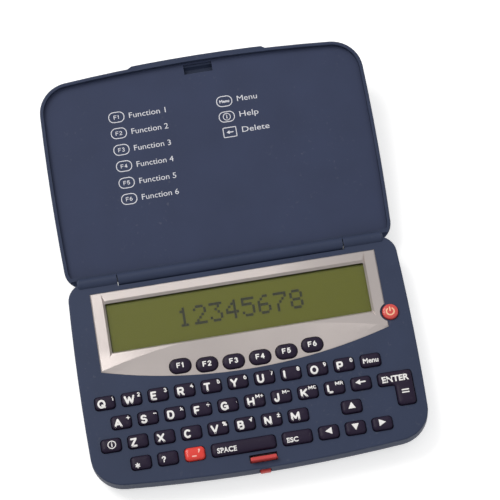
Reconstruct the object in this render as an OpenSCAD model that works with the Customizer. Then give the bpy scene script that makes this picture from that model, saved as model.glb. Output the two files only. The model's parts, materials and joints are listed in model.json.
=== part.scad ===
// Pocket electronic dictionary in a hinged two-part case.
// The base lies on the XY plane with its underside at Z = 0 and its front edge toward -Y.
// The lid is drawn open, as far back as its stop lets it go.
// The origin is the centre of the base's underside. All lengths are in millimetres.

/* [Base case] */
// Widest part of the case, left to right
case_w = 124.4; // [120:0.2:130]
// Front edge to hinge axis
case_d = 82; // [80:0.5:90]
// Underside to fascia
base_h = 10.6; // [10.2:0.1:12]
// Wall thickness of every shell
wall = 1.6; // [1.2:0.1:2]
// Thickness of the bottom shell's floor
floor_t = 1.2; // [1:0.1:1.2]
// Thickness of the keyboard fascia
fascia_t = 1.4; // [1.2:0.1:1.6]
// Height of the seam between bottom and top shell
seam_z = 5; // [4.6:0.1:5.2]
// Radius of the bowed sides
side_bow_r = 900; // [600:50:1500]
// Radius of the bowed front edge
front_bow_r = 590; // [400:10:900]
// Corner radius at the front
front_corner_r = 12; // [8:0.5:14]
// Corner radius beside the hinge
rear_corner_r = 7; // [6.6:0.1:8]
// How far the underside's rounding reaches in from the edge
under_round_w = 4.6; // [3:0.2:5]
// How far the underside's rounding reaches up
under_round_h = 7.2; // [5.2:0.2:8]
// Height of the upright edge round the flat underside
foot_edge = 0.3; // [0.2:0.05:0.4]
// Rounding of the upper edge
edge_round = 0.5; // [0.3:0.1:0.8]

/* [Lid] */
// Thickness of the lid
lid_h = 5.4; // [5:0.1:7]
// Gap between lid rim and fascia when closed
lid_gap = 0.3; // [0.3:0.05:0.6]
// How far the lid stands open, in degrees from closed
lid_open = 172; // [120:0.1:176]
// Width of the raised rim around the inner panel
rim_w = 1.3; // [1:0.1:2]
// Depth of the inner panel below the rim
rim_h = 1.6; // [1.6:0.1:2]
// Thickness of the inner panel
liner_t = 0.9; // [0.6:0.1:1]
// How far the crown's rounding reaches in from the edge
crown_w = 5; // [3:0.2:6]
// Height of the lid's side below the crown's rounding
lid_side_h = 1.4; // [1:0.1:2]
// Width of the thumb lip on the free edge
lip_w = 54; // [30:1:70]
// How far the thumb lip stands out
lip_out = 0.7; // [0.4:0.1:1.5]
// Thickness of the thumb lip
lip_t = 2.2; // [1.6:0.1:2.6]

/* [Hinge] */
// Depth of the hinge axis below the fascia
axis_drop = 1.2; // [1:0.1:1.6]
// Radius of barrel and lugs
barrel_r = 2.4; // [2:0.1:2.6]
// Side of the case to the lid's barrel
barrel_margin = 20; // [17:0.2:32]
// Side of the case to the outer end of the lug
lug_margin = 4.8; // [4.6:0.1:8]
// Running clearance around the barrel and at its ends
hinge_gap = 0.35; // [0.3:0.05:0.5]
// Radius of the hinge pins
pin_r = 0.8; // [0.6:0.05:1]
// Length of each hinge pin
pin_len = 13; // [8:0.5:16]
// How far each pin reaches into the barrel
pin_in_barrel = 4; // [3:0.5:6]

/* [Keyboard] */
// Side of the case to the first key of a row
key_margin = 4.9; // [4.2:0.1:6]
// Side of the case to the enter key
enter_margin = 4.1; // [3.4:0.1:5]
// Bezel's curved edge to the first row
row_margin = 1.9; // [1.5:0.1:2.4]
// Front edge of the case to the last row
front_margin = 6.95; // [6.4:0.05:7.4]
// Space between neighbouring keys in a row
column_space = 2.5; // [1.8:0.1:2.8]
// Space between neighbouring rows
row_space = 3.25; // [2.4:0.05:3.6]
// Corner radius of a key
key_corner = 1.2; // [0.8:0.1:2]
// Rounding of a key's upper edge
key_round = 0.5; // [0.3:0.1:0.9]
// How far a key stands above the fascia
key_proud = 1.3; // [1:0.1:1.5]
// Clearance between a key and its opening
key_gap = 0.25; // [0.25:0.05:0.4]
// Width of the hidden flange around a key
flange_w = 0.5; // [0.4:0.05:0.6]
// Thickness of the hidden flange
flange_t = 0.7; // [0.5:0.1:0.8]
// Width of the space key
space_w = 23.4; // [20:0.2:25]
// Width of the enter key's upper arm
enter_w = 12.5; // [11.5:0.1:13]
// Width of the enter key's lower leg
enter_leg_w = 6.6; // [6:0.2:8]

/* [Function keys and power button] */
// Width of an oval function key
oval_w = 7.9; // [7:0.1:8.2]
// Depth of an oval function key
oval_d = 5.5; // [5:0.1:6]
// End radius of an oval function key
oval_r = 2.6; // [2:0.1:2.7]
// How far the oval keys' arc lies inside the bezel's front edge
oval_inset = 3.6; // [3.2:0.1:4]
// How far oval keys and power button stand above the bezel
oval_proud = 0.7; // [0.5:0.1:1]
// Radius of the power button
power_r = 2.95; // [2.5:0.05:3.2]
// Side of the case to the middle of the power button
power_margin = 7.4; // [6.6:0.1:8]
// Power button from the hinge axis
power_back = 30.3; // [28:0.1:32]

/* [Display] */
// Side of the case to the silver bezel
bezel_margin = 8.9; // [8.5:0.1:10]
// Bezel's rear edge from the hinge axis
bezel_back = 4.7; // [4.5:0.1:6]
// Middle of the bezel's curved front edge from the hinge axis
bezel_front = 43.4; // [42:0.1:43.6]
// Radius of the bezel's curved front edge
bezel_bow_r = 189; // [150:1:300]
// Thickness of the bezel
bezel_t = 1.1; // [1:0.1:1.4]
// How far the bezel stands above the fascia
bezel_proud = 0.5; // [0.3:0.1:0.6]
// Side of the bezel to the display opening
view_margin = 5; // [5:0.1:9]
// Depth of the display opening
view_d = 19.5; // [17:0.5:20]
// Middle of the display opening from the hinge axis
view_back = 18.8; // [18.6:0.05:19.2]
// Slope of the display opening's edges
view_bevel = 0.8; // [0.4:0.1:1]
// Width of the bezel's bevelled outer edge
bezel_edge = 0.4; // [0.2:0.1:0.5]
// How far the window reaches under the bezel
window_lap = 1; // [0.6:0.1:1.2]
// Thickness of the window
window_t = 0.75; // [0.5:0.05:0.8]
// Thickness of the display's glass
glass_t = 1.6; // [1.2:0.1:1.8]

/* [Latch] */
// Width of the latch bar
bar_w = 9.6; // [8:0.2:12]
// Depth of the latch bar
bar_d = 1.4; // [1:0.1:1.8]
// How far the bar stands above the fascia
bar_proud = 2; // [1.2:0.1:2.2]
// Middle of the latch bar from the front edge
bar_front = 3.4; // [3.2:0.1:3.6]
// Width of the push nub
nub_w = 3.9; // [3:0.1:6]
// Height of the push nub
nub_h = 2; // [1.4:0.1:2.2]
// How far the nub stands out of the front edge
nub_out = 0.9; // [0.5:0.1:1.2]
// How far the latch slides
latch_travel = 1.2; // [0.8:0.1:1.2]

/* [Inside] */
// Thickness of the circuit board
board_t = 1; // [0.8:0.1:1.2]
// Thickness of the rubber mat between its domes
mat_t = 0.6; // [0.4:0.1:0.7]
// Radius of a coin cell
cell_r = 10; // [8:0.5:10]
// Thickness of a coin cell
cell_t = 3.2; // [2:0.1:3.2]
// Distance between the two coin cells' centres
cell_pitch = 21.8; // [21:0.1:23]
// Width of the battery cover
cover_w = 48; // [47:0.5:52]
// Depth of the battery cover
cover_d = 24; // [23.5:0.5:26]
// Middle of the battery cover from the hinge axis
cover_back = 19; // [18:0.5:20]
// Shank radius of the case screws
screw_r = 0.95; // [0.8:0.05:1]
// Head radius of the case screws
screw_head_r = 1.9; // [1.6:0.1:2.1]

/* [Hidden] */
$fn = 48;

// Small clearance between pieces that are fixed to each other
seat = 0.05;
// Clearance of a hinge pin in the lug that holds it and in the barrel that turns on it
pin_fit = 0.02;
pin_run = 0.06;
// Clearance between pieces that slide past each other
slide_gap = 0.3;
// How far a cutting shape runs past the faces that it cuts
over = 1;

hinge_y = case_d / 2;
front_y = -case_d / 2;
axis_z = base_h - axis_drop;
rear_gap = 0.2;
rear_y = hinge_y - rear_gap;
fascia_under = base_h - fascia_t;
barrel_len = case_w - 2 * barrel_margin;
lug_end = case_w / 2 - lug_margin;
notch_r = barrel_r + hinge_gap;
notch_w = barrel_len + 2 * hinge_gap;
inner_rear_y = hinge_y - notch_r - wall;

// Lid levels, counted in the closed pose
rim_z = base_h + lid_gap;
lid_top = rim_z + lid_h;
liner_z = rim_z + rim_h;
liner_top = liner_z + liner_t;
crown_h = lid_h - lid_side_h;
lid_skin = 1.4;
liner_seat = 1.2;
rim_bevel = 0.4;
neck_margin = 0.85;
lid_rear_rim = notch_r + neck_margin;
liner_gap = 0.1;

// Levels inside the base
flange_top = fascia_under - slide_gap;
flange_z = flange_top - flange_t;
board_rise = 0.3;
board_z = seam_z + board_rise;
mat_z = board_z + board_t;
dome_z = mat_z + mat_t;
dome_h = flange_z - seat - dome_z;

// Columns and rows of keys fill the field between the margins, with the enter key after the last column
column_count = 10.5;
row_count = 4;
pitch_x = (case_w - key_margin - enter_margin - enter_w) / column_count;
key_w = pitch_x - column_space;
pitch_y = (case_d - bezel_front - row_margin - front_margin + row_space) / row_count;
key_d = pitch_y - row_space;
function col_x(c) = key_margin - case_w / 2 + key_w / 2 + c * pitch_x;
function row_y(r) = hinge_y - bezel_front - row_margin - key_d / 2 - r * pitch_y;
space_x = col_x(3) + key_w / 2 + column_space + space_w / 2;
esc_w = 4 * pitch_x - column_space - space_w - column_space;
esc_x = col_x(8) - key_w / 2 - column_space - esc_w / 2;
enter_x = col_x(column_count - 1) + key_w / 2 + column_space + enter_w / 2;
enter_leg_x = enter_x + enter_w / 2 - enter_leg_w / 2;

// Names in each row from the left, after the column of the row's first key
KEY_ROWS = [
    [0, ["q", "w", "e", "r", "t", "y", "u", "i", "o", "p", "menu"]],
    [0.5, ["a", "s", "d", "f", "g", "h", "j", "k", "l", "back"]],
    [0, ["info", "z", "x", "c", "v", "b", "n", "m"]],
    [1, ["star", "help", "red"]]
];

// Keys that stand apart from the rows' runs: name, column, row
ARROW_KEYS = [["up", 9, 2], ["left", 8, 3], ["down", 9, 3], ["right", 10, 3]];

// Every rectangular key: name, x, y, width
KEYS = concat(
    [for (r = [0:row_count - 1]) for (i = [0:len(KEY_ROWS[r][1]) - 1])
        [KEY_ROWS[r][1][i], col_x(KEY_ROWS[r][0] + i), row_y(r), key_w]],
    [for (k = ARROW_KEYS) [k[0], col_x(k[1]), row_y(k[2]), key_w]],
    [["space", space_x, row_y(3), space_w], ["esc", esc_x, row_y(3), esc_w]]
);

// The oval keys sit on an arc with the same centre as the bezel's front edge
oval_count = 6;
oval_arc_r = bezel_bow_r - oval_inset;
bezel_arc_y = hinge_y - bezel_front + bezel_bow_r;
oval_step = asin(pitch_x / oval_arc_r);
function oval_angle(i) = (i - (oval_count - 1) / 2) * oval_step;
function oval_x(i) = oval_arc_r * sin(oval_angle(i));
function oval_y(i) = bezel_arc_y - oval_arc_r * cos(oval_angle(i));
power_x = case_w / 2 - power_margin;
power_y = hinge_y - power_back;

bezel_w = case_w - 2 * bezel_margin;
view_w = bezel_w - 2 * view_margin;
bezel_z = base_h + bezel_proud - bezel_t;
bezel_top = base_h + bezel_proud;
view_y = hinge_y - view_back;
window_w = view_w + 2 * window_lap;
window_d = view_d + 2 * window_lap;
window_z = bezel_z - seat - window_t;
window_corner = 0.8;
lcd_lap = 1;
lcd_w = window_w + 2 * lcd_lap;
lcd_d = window_d + 2 * lcd_lap;
lcd_top = fascia_under - 2 * seat;
frame_t = 1;
frame_h = 2;
power_ring = 0.6;

bar_y = front_y + bar_front;
latch_top = fascia_under - slide_gap;
latch_plate_t = 1.3;
latch_plate_w = 15;
bar_round = 0.3;

cover_y = hinge_y - cover_back;
cover_t = 0.8;
cover_z = foot_edge + seat;
cover_corner = 1.5;
cell_z = floor_t + seat;
well_gap = 0.2;
well_top = seam_z - 2 * seat;
cover_screw_in = 2.8;
cover_screw = [cover_w / 2 - cover_screw_in, cover_y + cover_d / 2 - cover_screw_in];
cover_head_r = 1.5;
cover_head_t = 0.4;
groove_w = 14;
groove_d = 0.6;
groove_pitch = 1.6;
groove_in = 5;

// Screws stand beside the last row's outer keys and beside the display
boss_r = 2.2;
boss_gap = 0.4;
boss_space = 1;
screw_seat_z = 2.2;
screw_sink_z = 0.7;
screw_len = 7.2;
recess_w = 0.5;
screw_back = 8;
front_screw_x = col_x(10) + key_w / 2 + flange_w + boss_gap + boss_r;
rear_screw_x = lcd_w / 2 + seat + frame_t + boss_space + boss_r;
SCREWS = [
    for (side = [-1, 1])
        each [[side * front_screw_x, row_y(3)], [side * rear_screw_x, hinge_y - screw_back]]
];

// Posts that carry the board and back the lid's panel, from the middle and from the edges
post_r = 1.5;
front_post_x = 30;
front_post_in = 8;
middle_post_x = 14;
outer_post_x = 40;
rear_post_x = 42;
rear_post_in = 9;
post_row_gap = 10;
post_row_y = cover_y - cover_d / 2 - post_row_gap;
POSTS = [
    for (side = [-1, 1])
        each [
            [side * front_post_x, front_y + front_post_in],
            [side * middle_post_x, post_row_y],
            [side * outer_post_x, post_row_y],
            [side * rear_post_x, hinge_y - rear_post_in]
        ]
];

// Parts under the board: round chip, square chip and crystal
chip_r = 5.5;
chip_t = 1.1;
chip_x = 30;
chip_front = 27;
chip_w = 9;
chip_d = 7;
square_chip_t = 1.4;
square_chip_x = 34;
square_chip_front = 23;
crystal_w = 4;
crystal_d = 8;
crystal_t = 1.6;
crystal_x = 8;
crystal_front = 19;
contact_w = 10;
contact_d = 4;
board_gap = 0.4;

// Domes of the rubber mat
dome_r = 2.2;
dome_top_r = 1.6;
mat_gap = 0.9;

// Colours of the finishes
NAVY = [0.2, 0.22, 0.3];
NAVY_PANEL = [0.24, 0.26, 0.35];
SILVER = [0.75, 0.71, 0.69];
KEY_BLACK = [0.16, 0.14, 0.19];
RED = [0.8, 0.25, 0.2];
STEEL = [0.7, 0.71, 0.72];

// Steps along the outline's corners and edges, the bezel's curved edge and the rounded edges
rear_corner_steps = 6;
side_steps = 6;
front_corner_steps = 10;
front_steps = 5;
bezel_steps = 24;
round_steps = 5;
least_step = 0.001;

// Points along an arc about c, from angle a0 to a1
function arc(c, r, a0, a1, n) = [for (i = [0:n]) let (a = a0 + (a1 - a0) * i / n) c + r * [cos(a), sin(a)]];
function angle_to(a, b) = atan2(b.y - a.y, b.x - a.x);

// Lower right crossing of two circles
function crossing(c1, r1, c2, r2) =
    let (
        d = norm(c2 - c1),
        along = (r1 * r1 - r2 * r2 + d * d) / (2 * d),
        aside = sqrt(r1 * r1 - along * along),
        u = (c2 - c1) / d
    )
    c1 + along * u - aside * [-u.y, u.x];

// Centres of the arcs that make up the right half of the case outline
side_c = [case_w / 2 - side_bow_r, 0];
front_c = [0, front_y + front_bow_r];
front_corner_c = crossing(side_c, side_bow_r - front_corner_r, front_c, front_bow_r - front_corner_r);
rear_corner_share = 0.9;
rear_corner_y = rear_y - rear_corner_share * rear_corner_r;
rear_corner_c = [
    side_c.x + sqrt(pow(side_bow_r - rear_corner_r, 2) - pow(rear_corner_y - side_c.y, 2)),
    rear_corner_y
];

// Right half of the outline from the hinge to the middle of the front edge, drawn in by inset
function half_outline(inset) =
    let (
        rear_r = rear_corner_r - inset,
        rear_cut = asin(min(1, (rear_y - inset - rear_corner_c.y) / rear_r)),
        side_top = angle_to(side_c, rear_corner_c),
        side_low = angle_to(side_c, front_corner_c),
        front_side = angle_to(front_c, front_corner_c)
    )
    concat(
        arc(rear_corner_c, rear_r, rear_cut, side_top, rear_corner_steps),
        arc(side_c, side_bow_r - inset, side_top, side_low, side_steps),
        arc(front_corner_c, front_corner_r - inset, side_low, front_side, front_corner_steps),
        arc(front_c, front_bow_r - inset, front_side, -90, front_steps)
    );

// Drops points that repeat the one before
function distinct(points) = [
    for (i = [0:len(points) - 1])
        if (i == 0 || norm(points[i] - points[i - 1]) > least_step) points[i]
];
function mirrored(points) = [for (i = [len(points) - 1:-1:0]) [-points[i].x, points[i].y]];
function outline(inset) =
    let (half = distinct(half_outline(inset)))
    distinct(concat(half, mirrored(half)));

// Smooth solid through rings of points, each ring clockwise from above and the lowest first
module loft(rings) {
    n = len(rings[0]);
    m = len(rings);
    polyhedron(
        points = [for (ring = rings) each ring],
        faces = concat(
            [[for (i = [n - 1:-1:0]) i], [for (i = [0:n - 1]) (m - 1) * n + i]],
            [for (k = [0:m - 2]) for (i = [0:n - 1])
                let (a = k * n + i, b = k * n + (i + 1) % n)
                each [[a, b, b + n], [a, b + n, a + n]]]
        )
    );
}
function ring(points, z) = [for (p = points) [p.x, p.y, z]];

// Case shape through [height, inset] levels
module case_loft(levels) loft([for (l = levels) ring(outline(l[1]), l[0])]);

// Inset of the outer surface at height z above the start of a rounding of the given size
function round_inset(z, w, h) = z >= h ? 0 : w * (1 - sqrt(1 - pow(1 - z / h, 2)));
function under_inset(z) = round_inset(z, under_round_w, under_round_h);
function crown_inset(z) = round_inset(lid_top - z, crown_w, crown_h);

// Heights at even turns of a rounding of height h, from turn a0 to a1
function round_heights(h, a0, a1, n) = [for (i = [0:n]) h * (1 - cos(a0 + (a1 - a0) * i / n))];
foot_turn = acos(1 - foot_edge / under_round_h);
seam_turn = acos(1 - seam_z / under_round_h);
seam_inset = under_inset(seam_z);

module rounded_rect(w, d, r) {
    square([w - 2 * r, d], center = true);
    square([w, d - 2 * r], center = true);
    for (x = [-1, 1]) for (y = [-1, 1])
        translate([x * (w / 2 - r), y * (d / 2 - r)]) circle(r);
}
module slab(w, d, r, z0, z1) translate([0, 0, z0]) linear_extrude(z1 - z0) rounded_rect(w, d, r);
module post(p, r, z0, z1) translate([p.x, p.y, z0]) cylinder(r = r, h = z1 - z0);
module along_x(x0, x1, r) translate([x0, hinge_y, axis_z]) rotate([0, 90, 0]) cylinder(r = r, h = x1 - x0);
module each_side() {
    children();
    mirror([1, 0, 0]) children();
}
module case_slice(inset, z0, z1) translate([0, 0, z0]) linear_extrude(z1 - z0) polygon(outline(inset));

// Keeps what lies in front of y
module in_front_of(y, z0, z1) {
    intersection() {
        children();
        translate([-case_w, y - 2 * case_d, z0]) cube([2 * case_w, 2 * case_d, z1 - z0]);
    }
}

// Room that the lid's barrel and its neck turn in
module hinge_notch() {
    along_x(-notch_w / 2, notch_w / 2, notch_r);
    translate([-notch_w / 2, hinge_y - notch_r, -over])
        cube([notch_w, notch_r + barrel_r, base_h + 2 * over]);
}

// Shape of the enter key from above, grown by g
module enter_shape(g) {
    arm_y = row_y(1);
    leg_d = key_d + pitch_y;
    translate([enter_x, arm_y]) rounded_rect(enter_w + 2 * g, key_d + 2 * g, key_corner + g);
    translate([enter_leg_x, arm_y - pitch_y / 2])
        rounded_rect(enter_leg_w + 2 * g, leg_d + 2 * g, key_corner + g);
}

// Every keyboard key's outline, grown by g
module keyboard_shape(g) {
    for (k = KEYS) translate([k[1], k[2]]) rounded_rect(k[3] + 2 * g, key_d + 2 * g, key_corner + g);
    enter_shape(g);
}
module oval_shapes(g) {
    for (i = [0:oval_count - 1])
        translate([oval_x(i), oval_y(i)]) rotate(oval_angle(i))
            rounded_rect(oval_w + 2 * g, oval_d + 2 * g, oval_r + g);
}

// Block with a rounded upper edge all round
module cap_block(w, d, corner, edge, h) {
    intersection() {
        slab(w, d, corner, 0, h);
        rotate([90, 0, 0]) linear_extrude(d + over, center = true) arched(w, h, edge);
        rotate([90, 0, 90]) linear_extrude(w + over, center = true) arched(d, h, edge);
    }
}
module arched(w, h, r) {
    translate([-w / 2, -over]) square([w, h + over - r]);
    translate([r - w / 2, 0]) square([w - 2 * r, h]);
    for (x = [-1, 1]) translate([x * (w / 2 - r), h - r]) circle(r);
}

// Shell under the board, with the cells' bay, the screw seats and the posts for the board
module bottom_case() {
    color(NAVY) {
        difference() {
            case_loft(concat(
                [[0, under_inset(foot_edge)]],
                [for (z = round_heights(under_round_h, foot_turn, seam_turn, round_steps)) [z, under_inset(z)]]
            ));
            difference() {
                in_front_of(inner_rear_y, 0, base_h)
                    case_loft([for (z = [floor_t, (floor_t + seam_z) / 2, seam_z + over])
                        [z, under_inset(min(z, seam_z)) + wall]]);
                translate([0, cover_y, 0]) cell_block();
                for (s = SCREWS) post(s, boss_r + boss_gap, 0, well_top);
                for (p = POSTS) post(p, post_r, 0, seam_z + over);
            }
            hinge_notch();
            translate([0, cover_y, 0])
                slab(cover_w + 2 * slide_gap, cover_d + 2 * slide_gap, cover_corner + slide_gap, -over, floor_t);
            for (side = [-1, 1])
                post([side * cell_pitch / 2, cover_y], cell_r + well_gap, 0, seam_z + over);
            for (s = SCREWS) {
                post(s, screw_head_r + well_gap, -over, screw_seat_z);
                post(s, screw_r + well_gap, 0, seam_z + over);
            }
            post(cover_screw, screw_r + seat, 0, seam_z);
        }
        for (p = POSTS) post(p, post_r, seam_z, board_z - seat);
    }
}

// Block round the two cells
module cell_block() {
    slab(cover_w + 2 * slide_gap + 2 * frame_t, cover_d + 2 * slide_gap + 2 * frame_t, cover_corner, 0, well_top);
}

// Shell with the keyboard fascia, the lugs and the screw bosses
module top_case() {
    color(NAVY) difference() {
        union() {
            difference() {
                case_loft(concat(
                    [for (z = round_heights(under_round_h, seam_turn, 90, 3)) [z, under_inset(z)]],
                    [for (a = [0:30:90]) [base_h - edge_round * (1 - sin(a)), edge_round * (1 - cos(a))]]
                ));
                in_front_of(inner_rear_y, 0, base_h)
                    case_slice(wall + seam_inset, seam_z - over, fascia_under);
            }
            for (s = SCREWS) post(s, boss_r, seam_z, fascia_under + seat);
            display_frame();
            each_side() lug();
        }
        translate([0, 0, fascia_under - over]) linear_extrude(fascia_t + 2 * over) {
            keyboard_shape(key_gap);
            translate([power_x, power_y]) circle(power_r + key_gap);
            oval_shapes(key_gap);
            translate([0, view_y])
                rounded_rect(window_w + 2 * well_gap, window_d + 2 * well_gap, window_corner + well_gap);
        }
        bezel_pocket();
        hinge_notch();
        for (s = SCREWS) post(s, screw_r + seat, seam_z - over, screw_sink_z + screw_len + slide_gap);
        each_side() along_x(0, barrel_len / 2 - pin_in_barrel + pin_len + seat, pin_r + pin_fit);
        latch_room();
    }
}

// Ribs that hold the display from the side
module display_frame() {
    translate([0, view_y, lcd_top - frame_h]) linear_extrude(fascia_under + seat - lcd_top + frame_h) difference() {
        rounded_rect(lcd_w + 2 * seat + 2 * frame_t, lcd_d + 2 * seat + 2 * frame_t, frame_t);
        square([lcd_w + 2 * seat, lcd_d + 2 * seat], center = true);
    }
}

// Round lug beside the barrel, with a rounded outer end
module lug() {
    end_round = 0.8;
    along_x(notch_w / 2, lug_end - end_round, barrel_r);
    translate([lug_end - end_round, hinge_y, axis_z]) rotate([0, 90, 0])
        cylinder(r1 = barrel_r, r2 = barrel_r - end_round, h = end_round);
}

// Slot for the latch bar and hole for its nub
module latch_room() {
    slot_w = bar_w + 2 * slide_gap;
    slot_d = bar_d + latch_travel + 2 * slide_gap;
    nub_hole_len = 4 * wall;
    translate([-slot_w / 2, bar_y - bar_d / 2 - slide_gap, fascia_under - over])
        cube([slot_w, slot_d, fascia_t + 2 * over]);
    translate([0, front_y, latch_top - nub_h / 2]) rotate([90, 0, 0])
        linear_extrude(nub_hole_len, center = true)
            rounded_rect(nub_w + 2 * slide_gap, nub_h + 2 * slide_gap, 2 * bar_round);
    translate([-latch_plate_w / 2 - slide_gap, bar_y - bar_d - wall, latch_top - nub_h - slide_gap])
        cube([latch_plate_w + 2 * slide_gap, wall + bar_d, nub_h + 2 * slide_gap]);
}

// Bezel outline drawn in by i, clockwise from above
function bezel_outline(i) =
    let (
        half = bezel_w / 2 - i,
        back = hinge_y - bezel_back - i,
        r = bezel_bow_r - i,
        swing = asin(half / r)
    )
    concat(
        [[-half, back], [half, back]],
        arc([0, bezel_arc_y], r, swing - 90, -swing - 90, bezel_steps)
    );
module bezel_pocket() {
    translate([0, 0, bezel_z]) linear_extrude(bezel_t + over) difference() {
        polygon(bezel_outline(-seat));
        translate([power_x, power_y]) circle(power_r + key_gap + power_ring);
    }
}

// Silver plate with a bevelled edge, a sloping display opening and the oval key openings
module display_bezel() {
    half_w = view_w / 2;
    half_d = view_d / 2;
    color(SILVER) difference() {
        loft([
            ring(bezel_outline(0), bezel_z),
            ring(bezel_outline(0), bezel_top - bezel_edge),
            ring(bezel_outline(bezel_edge), bezel_top)
        ]);
        translate([0, view_y, 0]) loft([
            ring(clockwise_rect(half_w - view_bevel, half_d - view_bevel), bezel_z - bezel_t),
            ring(clockwise_rect(half_w + 2 * view_bevel, half_d + 2 * view_bevel), bezel_top + bezel_t)
        ]);
        translate([0, 0, bezel_z - over]) linear_extrude(bezel_t + 2 * over) oval_shapes(key_gap);
        post([power_x, power_y], power_r + key_gap + power_ring, bezel_z - over, bezel_top + over);
    }
}
function clockwise_rect(x, y) = [[-x, y], [x, y], [x, -y], [-x, -y]];

module display_window() {
    color([0.6, 0.65, 0.6, 0.4]) translate([0, view_y, 0])
        slab(window_w, window_d, window_corner, window_z, window_z + window_t);
}

// Glass sandwich on its backing, with a frame of contacts along the front
module display_module() {
    backing_w = lcd_w - 2 * lcd_lap;
    backing_d = lcd_d - 2 * lcd_lap;
    color([0.4, 0.42, 0.2]) translate([0, view_y, 0]) {
        translate([-lcd_w / 2, -lcd_d / 2, lcd_top - glass_t]) cube([lcd_w, lcd_d, glass_t]);
        translate([-backing_w / 2, -backing_d / 2, mat_z]) cube([backing_w, backing_d, lcd_top - glass_t - mat_z]);
    }
}

// Board cut to the inside of the case, with the cell contacts, the chip and the small parts
module circuit_board() {
    color([0.1, 0.35, 0.2]) difference() {
        in_front_of(inner_rear_y - board_gap, 0, base_h)
            case_slice(wall + seam_inset + board_gap, board_z, mat_z);
        for (s = SCREWS) post(s, boss_r + boss_gap, 0, base_h);
    }
    color("black") {
        post([chip_x, front_y + chip_front], chip_r, board_z - chip_t, board_z);
        translate([-square_chip_x, front_y + square_chip_front, board_z - square_chip_t])
            cube([chip_w, chip_d, square_chip_t]);
        translate([crystal_x, front_y + crystal_front, board_z - crystal_t])
            cube([crystal_w, crystal_d, crystal_t]);
    }
    contact_z = cell_z + cell_t + seat;
    color(STEEL) for (side = [-1, 1])
        translate([side * cell_pitch / 2 - contact_w / 2, cover_y - contact_d / 2, contact_z])
            cube([contact_w, contact_d, board_z - contact_z]);
}

// Rubber sheet with a dome under every key
module key_mat() {
    front = row_y(row_count - 1) - key_d / 2 - mat_gap;
    back = view_y - lcd_d / 2 - frame_t - mat_gap;
    mat_inset = wall + seam_inset + mat_gap;
    color([0.55, 0.55, 0.52]) {
        difference() {
            intersection() {
                case_slice(mat_inset, mat_z, dome_z);
                translate([-case_w / 2, front, mat_z]) cube([case_w, back - front, mat_t]);
            }
            for (s = SCREWS) post(s, boss_r + mat_gap, 0, base_h);
        }
        post([power_x, power_y], power_r + flange_w, mat_z, dome_z);
        for (k = KEYS) dome(k[1], k[2]);
        dome(enter_leg_x, row_y(1));
        for (i = [0:oval_count - 1]) dome(oval_x(i), oval_y(i));
        dome(power_x, power_y);
    }
}
module dome(x, y) translate([x, y, dome_z]) cylinder(r1 = dome_r, r2 = dome_top_r, h = dome_h);

// Cover plate of the cells' bay with grip grooves, and its captive screw
module battery_cover() {
    groove_y = cover_y - cover_d / 2 + groove_in;
    color(NAVY) difference() {
        translate([0, cover_y, 0]) slab(cover_w, cover_d, cover_corner, cover_z, cover_z + cover_t);
        for (i = [-1:1]) translate([0, groove_y + groove_pitch * i, cover_z])
            slab(groove_w, groove_d, groove_d / 2 - seat, -over, groove_d / 2);
        post(cover_screw, screw_r, 0, floor_t);
        post(cover_screw, cover_head_r, 0, cover_z + cover_head_t);
    }
    color(STEEL) {
        post(cover_screw, screw_r, cover_z + cover_head_t / 2, well_top - groove_d);
        post(cover_screw, cover_head_r, cover_z, cover_z + cover_head_t);
    }
}

module coin_cells() {
    rim = 0.5;
    color(STEEL) for (side = [-1, 1]) {
        post([side * cell_pitch / 2, cover_y], cell_r - rim, cell_z, cell_z + cell_t);
        post([side * cell_pitch / 2, cover_y], cell_r, cell_z + rim, cell_z + cell_t);
    }
}

// Countersunk into the underside, with a cross recess in each head
module case_screws() {
    color(STEEL) for (s = SCREWS) difference() {
        union() {
            post(s, screw_r, screw_sink_z, screw_sink_z + screw_len);
            post(s, screw_head_r, screw_sink_z, screw_seat_z);
        }
        for (turn = [0, 90]) translate([s.x, s.y, screw_sink_z]) rotate(turn)
            cube([2 * screw_head_r - 2 * recess_w, recess_w, screw_seat_z - screw_sink_z], center = true);
    }
}

module hinge_pins() {
    start = barrel_len / 2 - pin_in_barrel;
    color(STEEL) each_side() along_x(start, start + pin_len, pin_r);
}

// Draws the lid where it stands when open; its pieces are described closed
module opened() {
    translate([0, hinge_y, axis_z]) rotate([-lid_open, 0, 0]) translate([0, -hinge_y, -axis_z]) children();
}

// Barrel with the neck that carries it, as seen along the hinge axis
module neck_profile() {
    neck_sink = 0.5;
    rise = lid_top - axis_z - neck_sink;
    reach = 4.5;
    circle(barrel_r);
    polygon(concat(
        [[-reach, liner_top - axis_z - lid_gap], [-lid_rear_rim, liner_top - axis_z - lid_gap],
         [-lid_rear_rim, rim_z - axis_z], [-barrel_r, rim_z - axis_z], [-barrel_r, 0]],
        [for (a = [0:9:90]) [(barrel_r + reach) * cos(a) - reach, rise * sin(a)]]
    ));
}

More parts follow.
